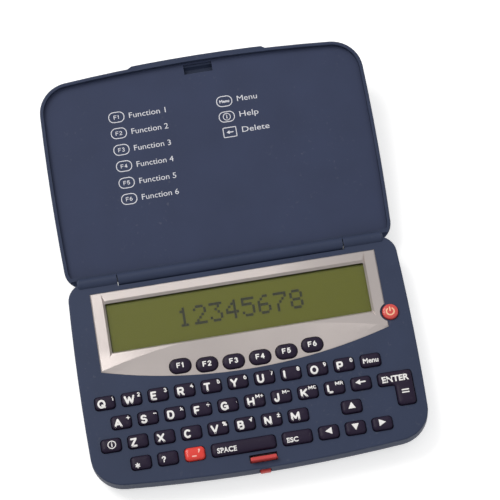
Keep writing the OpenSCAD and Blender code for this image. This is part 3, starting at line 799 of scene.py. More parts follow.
GLYPHS: dict[str, tuple[float, list[Path]]] = {
    "A": (1.0, [[(0, 0), (0.5, 1), (1, 0)], [(0.17, 0.33), (0.83, 0.33)]]),
    "B": (0.8, [[(0, 0), (0, 1)], bowl(0, 0.53, 1, 0.9), bowl(0, 0, 0.53)]),
    "C": (0.9, [oval_arc(0.5, 0.5, 0.5, 0.5, 48, 312)]),
    "D": (0.85, [[(0, 0), (0, 1)], bowl(0, 0, 1)]),
    "E": (0.72, [[(1, 1), (0, 1), (0, 0), (1, 0)], [(0, 0.52), (0.85, 0.52)]]),
    "F": (0.7, [[(1, 1), (0, 1), (0, 0)], [(0, 0.5), (0.85, 0.5)]]),
    "G": (0.92, [oval_arc(0.5, 0.5, 0.5, 0.5, 48, 350), [(0.55, 0.45), (1, 0.45), (1, 0.1)]]),
    "H": (0.85, [[(0, 0), (0, 1)], [(1, 0), (1, 1)], [(0, 0.5), (1, 0.5)]]),
    "I": (0.2, [[(0.5, 0), (0.5, 1)]]),
    "J": (0.65, [[(1, 1), (1, 0.3)] + oval_arc(0.5, 0.3, 0.5, 0.3, 0, -180)]),
    "K": (0.85, [[(0, 0), (0, 1)], [(1, 1), (0, 0.38)], [(0.32, 0.6), (1, 0)]]),
    "L": (0.68, [[(0, 1), (0, 0), (1, 0)]]),
    "M": (1.05, [[(0, 0), (0, 1), (0.5, 0.25), (1, 1), (1, 0)]]),
    "N": (0.88, [[(0, 0), (0, 1), (1, 0), (1, 1)]]),
    "O": (0.98, [oval_arc(0.5, 0.5, 0.5, 0.5, 0, 360)]),
    "P": (0.78, [[(0, 0), (0, 1)], bowl(0, 0.42, 1)]),
    "Q": (0.98, [oval_arc(0.5, 0.5, 0.5, 0.5, 0, 360), [(0.6, 0.3), (1, 0)]]),
    "R": (0.84, [[(0, 0), (0, 1)], bowl(0, 0.45, 1, 0.95), [(0.5, 0.45), (1, 0)]]),
    "S": (0.8, [
        oval_arc(0.5, 0.75, 0.46, 0.25, 30, 270) + oval_arc(0.5, 0.25, 0.5, 0.25, 90, -150),
    ]),
    "T": (0.8, [[(0, 1), (1, 1)], [(0.5, 1), (0.5, 0)]]),
    "U": (0.85, [[(0, 1), (0, 0.35)] + oval_arc(0.5, 0.35, 0.5, 0.35, 180, 360) + [(1, 1)]]),
    "V": (0.95, [[(0, 1), (0.5, 0), (1, 1)]]),
    "W": (1.3, [[(0, 1), (0.26, 0), (0.5, 0.85), (0.74, 0), (1, 1)]]),
    "X": (0.9, [[(0, 0), (1, 1)], [(0, 1), (1, 0)]]),
    "Y": (0.9, [[(0, 1), (0.5, 0.45), (1, 1)], [(0.5, 0.45), (0.5, 0)]]),
    "Z": (0.8, [[(0, 1), (1, 1), (0, 0), (1, 0)]]),
    "0": (0.66, [oval_arc(0.5, 0.5, 0.5, 0.5, 0, 360)]),
    "1": (0.4, [[(0.1, 0.78), (0.7, 1), (0.7, 0)]]),
    "2": (0.66, [oval_arc(0.5, 0.72, 0.48, 0.28, 165, -25) + [(0, 0), (1, 0)]]),
    "3": (0.66, [
        oval_arc(0.48, 0.76, 0.44, 0.24, 150, -80) + oval_arc(0.48, 0.26, 0.5, 0.26, 85, -150),
    ]),
    "4": (0.7, [[(0.76, 0), (0.76, 1), (0, 0.3), (1, 0.3)]]),
    "5": (0.66, [[(0.9, 1), (0.15, 1), (0.08, 0.5)] + oval_arc(0.46, 0.32, 0.52, 0.32, 130, -150)]),
    "6": (0.66, [oval_arc(0.5, 0.32, 0.5, 0.32, 0, 360), [(0.02, 0.4), (0.2, 0.75), (0.6, 1)]]),
    "7": (0.62, [[(0, 1), (1, 1), (0.35, 0)]]),
    "8": (0.66, [oval_arc(0.5, 0.76, 0.42, 0.24, 0, 360), oval_arc(0.5, 0.26, 0.5, 0.26, 0, 360)]),
    "9": (0.66, [oval_arc(0.5, 0.68, 0.5, 0.32, 0, 360), [(0.98, 0.6), (0.8, 0.25), (0.4, 0)]]),
    "+": (0.8, [[(0, 0.5), (1, 0.5)], [(0.5, 0.1), (0.5, 0.9)]]),
    "-": (0.75, [[(0, 0.5), (1, 0.5)]]),
    "x": (0.7, [[(0, 0.15), (1, 0.85)], [(0, 0.85), (1, 0.15)]]),
    "/": (0.8, [[(0, 0.5), (1, 0.5)], [(0.5, 0.92), (0.5, 0.93)], [(0.5, 0.07), (0.5, 0.08)]]),
    ".": (0.2, [[(0.5, 0), (0.5, 0.03)]]),
    "%": (0.95, [
        oval_arc(0.2, 0.78, 0.2, 0.2, 0, 360), oval_arc(0.8, 0.22, 0.2, 0.2, 0, 360),
        [(0.2, 0), (0.8, 1)],
    ]),
    "~": (0.75, [[(0, 0), (1, 0)], [(0, 0.6), (1, 0.6)], [(0.5, 0.25), (0.5, 0.98)]]),
    "^": (1.0, [[(0, 0.45), (0.2, 0.55), (0.42, 0), (0.6, 1), (1, 1)]]),
    "*": (0.9, [[(0.5, 0), (0.5, 1)], [(0.02, 0.25), (0.98, 0.75)], [(0.02, 0.75), (0.98, 0.25)]]),
    "?": (0.68, [
        oval_arc(0.5, 0.74, 0.46, 0.26, 170, -60) + [(0.5, 0.3)], [(0.5, 0.0), (0.5, 0.03)],
    ]),
}


class InkSheet:
    """Collects flat printed shapes in millimetres and lays them on a surface as one thin solid.

    Attributes:
        CAP_OF_FONT: Height of the typeface's capitals at size one.
        LEAST_AREA: Smaller faces of the typeface are flaws of its outline.
        LONGEST: Longest straight piece of a glyph's line, so that it follows a curved key.
        PROUD: How far the ink stands above its surface.
        SUNK: How far it reaches below.
    """

    CAP_OF_FONT = 0.682
    LEAST_AREA = 1e-5
    LONGEST = 0.7
    PROUD = 0.02
    SUNK = 0.03

    def __init__(self) -> None:
        """Starts with no shapes."""
        self.shapes: list[Path] = []

    def line(self, path: Path, width: float, closed: bool = False) -> None:
        """Adds a line with round ends and joints.

        Args:
            path: Its points.
            width: Its width.
            closed: Whether its last point joins its first.
        """
        half = width / 2
        ends = list(zip(path, path[1:] + path[:1] if closed else path[1:]))
        for (ax, ay), (bx, by) in ends:
            angle = math.atan2(by - ay, bx - ax)
            turns = [angle + math.pi / 2 + math.pi * k / 4 for k in range(5)]
            left = [(ax + half * math.cos(t), ay + half * math.sin(t)) for t in turns]
            right = [(bx - half * math.cos(t), by - half * math.sin(t)) for t in turns]
            self.shapes.append(left + right)

    def glyph(
        self, sign: str, left: float, front: float, height: float, stroke: float, wide: float = 1.0
    ) -> float:
        """Adds one letter, digit or sign.

        Args:
            sign: Its key in the glyph table.
            left: Its left edge.
            front: Its lower edge.
            height: Its height.
            stroke: Width of its lines.
            wide: How much wider than its usual width it is.

        Returns:
            Its right edge.
        """
        share, paths = GLYPHS[sign]
        width = wide * share * height
        across, up, half = width - stroke, height - stroke, stroke / 2
        for path in paths:
            placed = [(left + half + x * across, front + half + y * up) for x, y in path]
            fine: Path = [placed[0]]
            for a, b in zip(placed, placed[1:]):
                pieces = max(1, math.ceil(math.dist(a, b) / self.LONGEST))
                fine += [
                    (a[0] + (b[0] - a[0]) * k / pieces, a[1] + (b[1] - a[1]) * k / pieces)
                    for k in range(1, pieces + 1)
                ]
            self.line(fine, stroke)
        return left + width

    def signs(
        self, text: str, left: float, front: float, height: float, stroke: float, space: float = 0.3
    ) -> float:
        """Adds a row of glyphs and returns its right edge."""
        for sign in text:
            left = self.glyph(sign, left, front, height, stroke) + space
        return left - space

    @staticmethod
    def width_of(text: str, height: float, space: float = 0.3) -> float:
        """Returns how wide a row of glyphs is."""
        return sum(GLYPHS[sign][0] * height + space for sign in text) - space

    def word(
        self,
        text: str,
        x: float,
        front: float,
        height: float,
        width: float,
        align: Align,
        bold: float = 0.0,
    ) -> None:
        """Adds a word in the plain built-in typeface.

        Args:
            text: The word.
            x: Where its left edge, middle or right edge is.
            front: Its base line.
            height: Height of its capitals.
            width: Its whole width.
            align: Which part of it stands at x.
            bold: Width of the line that thickens its outline.
        """
        curve = bpy.data.curves.new("lettering", "FONT")
        curve.body = text
        curve.resolution_u = 3
        letters = bpy.data.objects.new("lettering", curve)
        flat = letters.to_mesh()
        xs = [v.co.x for v in flat.vertices]
        stretch = width / (max(xs) - min(xs))
        grow = height / self.CAP_OF_FONT
        left = x - align.value * width - min(xs) * stretch
        spots = [(left + v.co.x * stretch, front + v.co.y * grow) for v in flat.vertices]
        faces = [[spots[i] for i in face.vertices] for face in flat.polygons]
        self.shapes += [face for face in faces if signed_area(face) > self.LEAST_AREA]
        if bold:
            loops = [list(face.vertices) for face in flat.polygons]
            sides = [side for loop in loops for side in zip(loop, loop[1:] + loop[:1])]
            rims = set(sides) - {(b, a) for a, b in sides}
            for a, b in sorted(rims):
                self.line([spots[a], spots[b]], bold)
        letters.to_mesh_clear()
        bpy.data.objects.remove(letters)
        bpy.data.curves.remove(curve)

    def _grid(self, spacing: float) -> list[Path]:
        """Returns crossing lines over all the shapes."""
        xs = [x for path in self.shapes for x, _ in path]
        ys = [y for path in self.shapes for _, y in path]
        columns = math.ceil((max(xs) - min(xs)) / spacing)
        rows = math.ceil((max(ys) - min(ys)) / spacing)
        across = [min(xs) + (max(xs) - min(xs)) * i / columns for i in range(1, columns)]
        along = [min(ys) + (max(ys) - min(ys)) * i / rows for i in range(1, rows)]
        upright: list[Path] = [[(x, min(ys)), (x, max(ys))] for x in across]
        level: list[Path] = [[(min(xs), y), (max(xs), y)] for y in along]
        return upright + level

    def lay(
        self,
        name: str,
        body: str,
        slot: Slot,
        material: bpy.types.Material,
        surface: Surface,
        turned: Matrix | None = None,
        grid: float = 0.0,
    ) -> bpy.types.Object:
        """Makes the shapes one thin solid on a surface.

        Args:
            name: The piece's name.
            body: Body that it moves with.
            slot: Slot that its finish belongs to.
            material: The ink.
            surface: Function from x and y to the surface's height.
            turned: Turns and shifts the finished solid, in millimetres.
            grid: Spacing of the lines along which wide shapes may bend, or zero for none.

        Returns:
            The piece.
        """
        points, faces = plate(
            self.shapes,
            [],
            self._grid(grid) if grid else [],
            lambda x, y: surface(x, y) + self.PROUD,
            lambda x, y: surface(x, y) - self.SUNK,
        )
        if turned is not None:
            points = [turned @ p for p in points]
        return new_piece(name, points, faces, body, slot, material)


@dataclass(frozen=True)
class Pillow:
    """Soft key top: how far in from its edge each level lies, and how far below the top.

    Attributes:
        levels: Pairs of inset and depth below the top, from the side up.
    """

    levels: tuple[tuple[float, float], ...] = (
        (0.0, 1.05),
        (0.05, 0.78),
        (0.18, 0.52),
        (0.4, 0.3),
        (0.75, 0.14),
        (1.25, 0.05),
        (1.9, 0.0),
    )

    def depth(self, inset: float) -> float:
        """Returns how far below the top the surface lies at an inset."""
        for (near, deep), (far, shallow) in zip(self.levels, self.levels[1:]):
            if inset <= far:
                share = max(0.0, (inset - near) / (far - near))
                return deep + (shallow - deep) * share
        return self.levels[-1][1]


@dataclass(frozen=True)
class Flange:
    """Hidden rim that keeps a key behind its opening.

    Attributes:
        width: How far it stands out.
        height: Its thickness.
    """

    width: float = 0.5
    height: float = 0.7


def make_cap(
    node: str,
    name: str,
    slot: Slot,
    material: bpy.types.Material,
    ring: Callable[[float], Path],
    pillow: Pillow,
    flange: Flange,
) -> None:
    """Makes the soft-topped key that stands for a node.

    Args:
        node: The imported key, which is also the body that it moves with.
        name: The piece's name.
        slot: Slot that its finish belongs to.
        material: Its finish.
        ring: Function from an inset to the key's outline drawn in by it.
        pillow: Shape of its top.
        flange: Its flange.
    """
    low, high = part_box(node)
    foot, top = low.z / MM, high.z / MM
    shoulder = foot + flange.height
    rings = [(ring(-flange.width), foot), (ring(-flange.width), shoulder), (ring(0.0), shoulder)]
    rings += [(ring(inset), top - depth) for inset, depth in pillow.levels]
    cap = new_piece(name, *loft(rings), node, slot, material, 50.0)
    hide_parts(node)


def blend(value: float, stops: tuple[Point, ...]) -> float:
    """Returns the height of a broken line at a value, held level beyond its ends."""
    if value <= stops[0][0]:
        return stops[0][1]
    for (near, low), (far, high) in zip(stops, stops[1:]):
        if value <= far:
            return low + (high - low) * (value - near) / (far - near)
    return stops[-1][1]


def inside_by(x: float, y: float, outline: Path) -> float:
    """Returns how far a point lies from a closed outline."""
    nearest = math.inf
    for (ax, ay), (bx, by) in zip(outline, outline[1:] + outline[:1]):
        along_x, along_y = bx - ax, by - ay
        length = along_x * along_x + along_y * along_y
        share = ((x - ax) * along_x + (y - ay) * along_y) / length if length else 0.0
        share = max(0.0, min(1.0, share))
        nearest = min(nearest, math.hypot(x - ax - share * along_x, y - ay - share * along_y))
    return nearest


@dataclass(frozen=True)
class Caption:
    """A word printed on a key.

    Attributes:
        text: The word.
        left: From the key's left edge to the word.
        drop: From the key's middle down to the base line.
        height: Height of its capitals.
        width: Its whole width.
        bold: Width of the line that thickens it.
    """

    text: str
    left: float
    drop: float
    height: float
    width: float
    bold: float = 0.16


@dataclass
class Keyboard:
    """Rubber-sprung keys of the fascia, with their printed captions.

    Attributes:
        finishes: The object's finishes.
        corner: Corner radius of a key.
        steps: Pieces of a corner's arc.
        flange: The keys' flange.
        leg: Width of the enter key's lower leg.
        key_depth: Depth of one key, front to rear.
        letter: Height of a letter.
        stroke: Width of its lines.
        small: Height of a small sign in a key's upper right corner.
        equals_rise: From the enter key's front edge to its equals sign.
        fold: Spacing of the lines along which an arrow follows its key.
        pillow: Shape of the key tops.
        top_row: Keys that carry the digits.
        operators: Small signs of the other letter keys.
        words: Captions of the keys that carry a word.
    """

    finishes: Finishes
    corner: float = 1.45
    steps: int = 7
    flange: Flange = Flange()
    leg: float = 6.6
    key_depth: float = 5.0
    letter: float = 3.3
    stroke: float = 0.72
    small: float = 1.75
    equals_rise: float = 4.9
    fold: float = 0.4
    pillow: Pillow = Pillow()
    top_row: str = "qwertyuiop"
    operators: dict[str, str] = field(
        default_factory=lambda: {
            "a": "+", "s": "-", "d": "x", "f": "/", "g": ".", "h": "M+", "j": "M-", "k": "MC",
            "l": "MR", "v": "%", "b": "^", "n": "~",
        }
    )
    words: dict[str, Caption] = field(
        default_factory=lambda: {
            "enter": Caption("ENTER", 1.5, 1.6, 2.15, 9.6, 0.24),
            "esc": Caption("ESC", 1.5, 1.75, 1.65, 4.1),
            "space": Caption("SPACE", 2.0, 1.55, 1.8, 7.0),
            "menu": Caption("Menu", 0.9, 1.2, 1.75, 5.5, 0.14),
        }
    )

    def build(self) -> int:
        """Makes every key and its caption and returns how many keys there are."""
        names = [n for n in frame["nodes"] if n.startswith("key_") and n != "key_mat"]
        for node in names:
            parts = self._parts(node)
            self._cap(node, parts)
            self._caption(node, parts)
        return len(names)

    def _parts(self, node: str) -> list[Path]:
        """Returns the rectangles that a key is joined from, without its flange."""
        low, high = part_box(node)
        left, front = low.x / MM + self.flange.width, low.y / MM + self.flange.width
        right, rear = high.x / MM - self.flange.width, high.y / MM - self.flange.width
        if node != "key_enter":
            return [rectangle(left, front, right, rear)]
        arm = rectangle(left, rear - self.key_depth, right, rear)
        return [arm, rectangle(right - self.leg, front, right, rear)]

    def _outline(self, parts: list[Path]) -> Path:
        """Returns a key's sharp outline, counterclockwise."""
        if len(parts) == 1:
            return parts[0]
        arm, leg = parts
        return [leg[0], leg[1], leg[2], arm[3], arm[0], (leg[0][0], arm[0][1])]

    def _cap(self, node: str, parts: list[Path]) -> None:
        """Makes the key that stands for a node."""
        name = node.replace("key_", "keycap_")
        slot = Slot.RED_KEY if node == "key_red" else Slot.KEY
        outline = self._outline(parts)

        def ring(inset: float) -> Path:
            """Returns the key's outline drawn in by an inset."""
            return rounded(outline, self.corner, inset, self.steps)

        make_cap(node, name, slot, self.finishes.by_slot[slot], ring, self.pillow, self.flange)

    def _caption(self, node: str, parts: list[Path]) -> None:
        """Prints a key's captions."""
        sheet = InkSheet()
        key = node.removeprefix("key_")
        left, middle = parts[0][0][0], (parts[0][0][1] + parts[0][2][1]) / 2
        if len(key) == 1:
            self._letter(sheet, key, parts[0])
        elif key in self.words:
            word = self.words[key]
            sheet.word(
                word.text, left + word.left, middle - word.drop, word.height, word.width,
                Align.LEFT, word.bold,
            )
        self._sign(sheet, key, parts)
        red = key == "red"
        slot = Slot.RED_KEY if red else Slot.KEY
        ink = self.finishes.red_key_ink if red else self.finishes.key_ink
        fold = self.fold if key in ("up", "down", "left", "right", "back") else 0.0
        edge = rounded(self._outline(parts), self.corner, 0.0, 4)
        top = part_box(node)[1].z / MM

        def surface(x: float, y: float) -> float:
            """Returns the height of the key's crowned top."""
            return top - self.pillow.depth(inside_by(x, y, edge))

        sheet.lay(f"legend_{key}", node, slot, ink, surface, grid=fold)

    def _letter(self, sheet: InkSheet, key: str, shape: Path) -> None:
        """Prints a key's letter and the small sign in its upper right corner.

        Args:
            sheet: The sheet that takes them.
            key: The letter.
            shape: The key's rectangle.
        """
        (left, front), (right, rear) = shape[0], shape[2]
        sheet.glyph(key.upper(), left + 0.9, front + 0.3, self.letter, self.stroke, 0.92)
        small = self.operators.get(key, "")
        if key in self.top_row:
            small = str((self.top_row.index(key) + 1) % 10)
        if small:
            size, stroke = (self.small, 0.4) if len(small) == 1 else (self.small - 0.3, 0.34)
            start = right - 0.3 - sheet.width_of(small, size, 0.2)
            sheet.signs(small, start, rear - 0.6 - size, size, stroke, 0.2)

    def _sign(self, sheet: InkSheet, key: str, parts: list[Path]) -> None:
        """Prints the sign of a key that has one.

        Args:
            sheet: The sheet that takes it.
            key: The key's name.
            parts: The key's rectangles.
        """
        (left, front), (right, rear) = parts[0][0], parts[0][2]
        x, y = (left + right) / 2, (front + rear) / 2
        if key in ("up", "down", "left", "right"):
            sheet.shapes.append(self._arrow(key, x, y + 0.15))
        elif key == "back":
            y += 0.2
            sheet.shapes.append([(x - 2.1, y), (x - 0.3, y - 1.05), (x - 0.3, y + 1.05)])
            sheet.line([(x - 0.5, y), (x + 1.45, y)], 0.55)
        elif key == "enter":
            leg = parts[1]
            leg_x = (leg[0][0] + leg[1][0]) / 2
            for rise in (-0.5, 0.5):
                y = leg[0][1] + self.equals_rise + rise
                sheet.line([(leg_x - 1.15, y), (leg_x + 1.15, y)], 0.5)
        elif key == "info":
            x, y = x + 0.3, y - 0.1
            sheet.line(circle((x, y), 1.4, 28), 0.33, closed=True)
            sheet.line([(x, y - 0.7), (x, y + 0.15)], 0.4)
            sheet.line([(x, y + 0.66), (x, y + 0.7)], 0.42)
        elif key == "star":
            sheet.glyph("*", left + 1.4, front + 0.3, 2.0, 0.45)
        elif key == "help":
            sheet.glyph("?", left + 1.35, y - 1.6, 2.3, 0.5)
        elif key == "red":
            sheet.line([(x + 1.65, y + 1.05), (x + 1.7, y + 0.9)], 0.75)
            sheet.line([(x + 1.75, y + 0.9), (x + 1.4, y + 0.1)], 0.4)
            sheet.line([(x - 0.95, front + 1.35), (x + 0.35, front + 1.35)], 0.5)

    @staticmethod
    def _arrow(way: str, x: float, y: float) -> Path:
        """Returns a triangle that points one of four ways."""
        turn = {"right": 0, "up": 90, "left": 180, "down": 270}[way]
        cos, sin = math.cos(math.radians(turn)), math.sin(math.radians(turn))
        tips = [(1.35, 0.0), (-1.15, 1.35), (-1.15, -1.35)]
        return [(x + a * cos - b * sin, y + a * sin + b * cos) for a, b in tips]


@dataclass
class KeyMat:
    """Rubber sheet with a dome under each key.

    Attributes:
        finishes: The object's finishes.
        sheet: Thickness of the sheet.
        foot: Radius of a dome at the sheet.
        head: Its radius under the key.
        sunk: How far a dome's foot is sunk into the sheet.
        keys: The keyboard, whose sizes say where the enter key's dome stands.
        level: Height of the sheet's upper face.
        top: Height of the domes.
    """

    finishes: Finishes
    sheet: float = 0.6
    foot: float = 2.2
    head: float = 1.6
    sunk: float = 0.1
    keys: type[Keyboard] = Keyboard
    level: float = field(init=False)
    top: float = field(init=False)

    def __post_init__(self) -> None:
        """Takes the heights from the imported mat."""
        low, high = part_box("key_mat")
        self.level, self.top = low.z / MM + self.sheet, high.z / MM

    def build(self) -> int:
        """Makes the sheet and its domes and returns how many domes there are."""
        self._sheet()
        count = 0
        for joint in frame["joints"]:
            if "deforming_nodes" in joint:
                count += 1
                self._dome(f"mat_dome_{count}", joint["child"])
        return count

    def _sheet(self) -> None:
        """Makes the flat sheet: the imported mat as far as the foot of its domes."""
        shaped = bmesh.new()
        shaped.from_mesh(frame["nodes"]["key_mat"].data)
        bmesh.ops.remove_doubles(shaped, verts=shaped.verts, dist=1e-6)
        cut = bmesh.ops.bisect_plane(
            shaped,
            geom=shaped.verts[:] + shaped.edges[:] + shaped.faces[:],
            plane_co=(0.0, 0.0, MM * (self.level - 0.01)),
            plane_no=(0.0, 0.0, 1.0),
            clear_outer=True,
        )
        rims = [part for part in cut["geom_cut"] if isinstance(part, bmesh.types.BMEdge)]
        bmesh.ops.triangle_fill(shaped, use_beauty=True, edges=rims, normal=(0.0, 0.0, 1.0))
        shaped.verts.index_update()
        points = [vertex.co / MM for vertex in shaped.verts]
        faces = [tuple(vertex.index for vertex in face.verts) for face in shaped.faces]
        shaped.free()
        material = self.finishes.by_slot[Slot.MAT]
        piece = new_piece("mat_sheet", points, faces, "base", Slot.MAT, material)
        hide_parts("key_mat")

    def _place(self, node: str) -> Point:
        """Returns where the dome under a key stands."""
        low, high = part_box(node)
        left, front, right, rear = (c / MM for c in (low.x, low.y, high.x, high.y))
        edge = self.keys.flange.width
        if node == "key_enter":
            return right - edge - self.keys.leg / 2, rear - edge - self.keys.key_depth / 2
        return (left + right) / 2, (front + rear) / 2

    def _dome(self, name: str, node: str) -> None:
        """Makes one dome under its key.

        Args:
            name: The piece's name.
            node: Its key.
        """
        place = self._place(node)
        wide, narrow = circle(place, self.foot, 20), circle(place, self.head, 20)
        rings = [(wide, self.level - self.sunk), (wide, self.level), (narrow, self.top)]
        material = self.finishes.by_slot[Slot.MAT]
        piece = new_piece(name, *loft(rings), "base", Slot.MAT, material)
        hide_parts("key_mat")
        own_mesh(piece)


@dataclass
class FunctionKeys:
    """Oval keys in the bezel, captioned by number.

    Attributes:
        finishes: The object's finishes.
        count: How many there are.
        width: Width of one.
        depth: Depth of one.
        corner: Its corner radius.
        steps: Pieces of a corner's arc.
        caption: Height of its caption.
        flange: The keys' flange.
        pillow: Shape of the key tops.
    """

    finishes: Finishes
    count: int = 6
    width: float = 7.9
    depth: float = 5.5
    corner: float = 2.6
    steps: int = 8
    caption: float = 2.1
    flange: Flange = Flange()
    pillow: Pillow = Pillow(
        (
            (0.0, 1.0), (0.06, 0.72), (0.2, 0.48), (0.45, 0.27), (0.85, 0.12), (1.4, 0.03),
            (2.0, 0.0),
        )
    )

    def build(self) -> int:
        """Makes the keys and returns how many there are."""
        for number in range(1, self.count + 1):
            self._key(number)
        return self.count

    def ring(self, number: int, inset: float) -> Path:
        """Returns a key's outline drawn in by an inset, which is negative for its opening."""
        low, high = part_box(f"function_key_{number}")
        x, y = (low.x + high.x) / 2 / MM, (low.y + high.y) / 2 / MM
        across, along = self.width / 2, self.depth / 2
        outline = rectangle(x - across, y - along, x + across, y + along)
        return rounded(outline, self.corner, inset, self.steps)

    def _key(self, number: int) -> None:
        """Makes one key and its caption."""
        node = f"function_key_{number}"
        material = self.finishes.by_slot[Slot.KEY]
        name = f"function_cap_{number}"
        outline = partial(self.ring, number)
        make_cap(node, name, Slot.KEY, material, outline, self.pillow, self.flange)
        low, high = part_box(node)
        x, y, top = (low.x + high.x) / 2 / MM, (low.y + high.y) / 2 / MM, high.z / MM
        sheet = InkSheet()
        text = f"F{number}"
        left = x - sheet.width_of(text, self.caption, 0.4) / 2
        sheet.signs(text, left, y - self.caption / 2, self.caption, 0.44, 0.4)
        edge = self.ring(number, 0.0)

        def surface(px: float, py: float) -> float:
            """Returns the height of the key's crowned top."""
            return top - self.pillow.depth(inside_by(px, py, edge))

        sheet.lay(f"legend_function_{number}", node, Slot.KEY, self.finishes.key_ink, surface)


@dataclass
class PowerButton:
    """Round power button with its arc-and-bar sign.

    Attributes:
        finishes: The object's finishes.
        radius: Radius above its flange.
        arc: Radius of its sign's arc.
        arc_start: Where the arc starts, in degrees.
        arc_turn: How far it goes round, in degrees.
        line: Width of the sign's lines.
        flange: Its flange.
        pillow: Shape of its top.
    """

    finishes: Finishes
    radius: float = 2.95
    arc: float = 1.4
    arc_start: float = 128.0
    arc_turn: float = 284.0
    line: float = 0.5
    flange: Flange = Flange()
    pillow: Pillow = Pillow(
        (
            (0.0, 0.75), (0.05, 0.5), (0.2, 0.32), (0.55, 0.18), (1.15, 0.08), (1.95, 0.02),
            (2.55, 0.0),
        )
    )

    def build(self) -> int:
        """Makes the button and its sign."""
        node = "power_button"
        low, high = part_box(node)
        x, y, top = (low.x + high.x) / 2 / MM, (low.y + high.y) / 2 / MM, high.z / MM

        def ring(inset: float) -> Path:
            """Returns the button's outline drawn in by an inset."""
            return circle((x, y), self.radius - inset, 48)

        material = self.finishes.by_slot[Slot.POWER]
        make_cap(node, "power_cap", Slot.POWER, material, ring, self.pillow, self.flange)
        sheet = InkSheet()
        turns = [math.radians(self.arc_start + self.arc_turn * i / 20) for i in range(21)]
        sheet.line(
            [(x + self.arc * math.cos(t), y - 0.1 + self.arc * math.sin(t)) for t in turns],
            self.line,
        )
        sheet.line([(x, y + 0.1), (x, y + 1.55)], self.line)

        def surface(px: float, py: float) -> float:
            """Returns the height of the button's crowned top."""
            return top - self.pillow.depth(self.radius - math.hypot(px - x, py - y))

        sheet.lay("legend_power", node, Slot.POWER, self.finishes.power_ink, surface)
        return 1


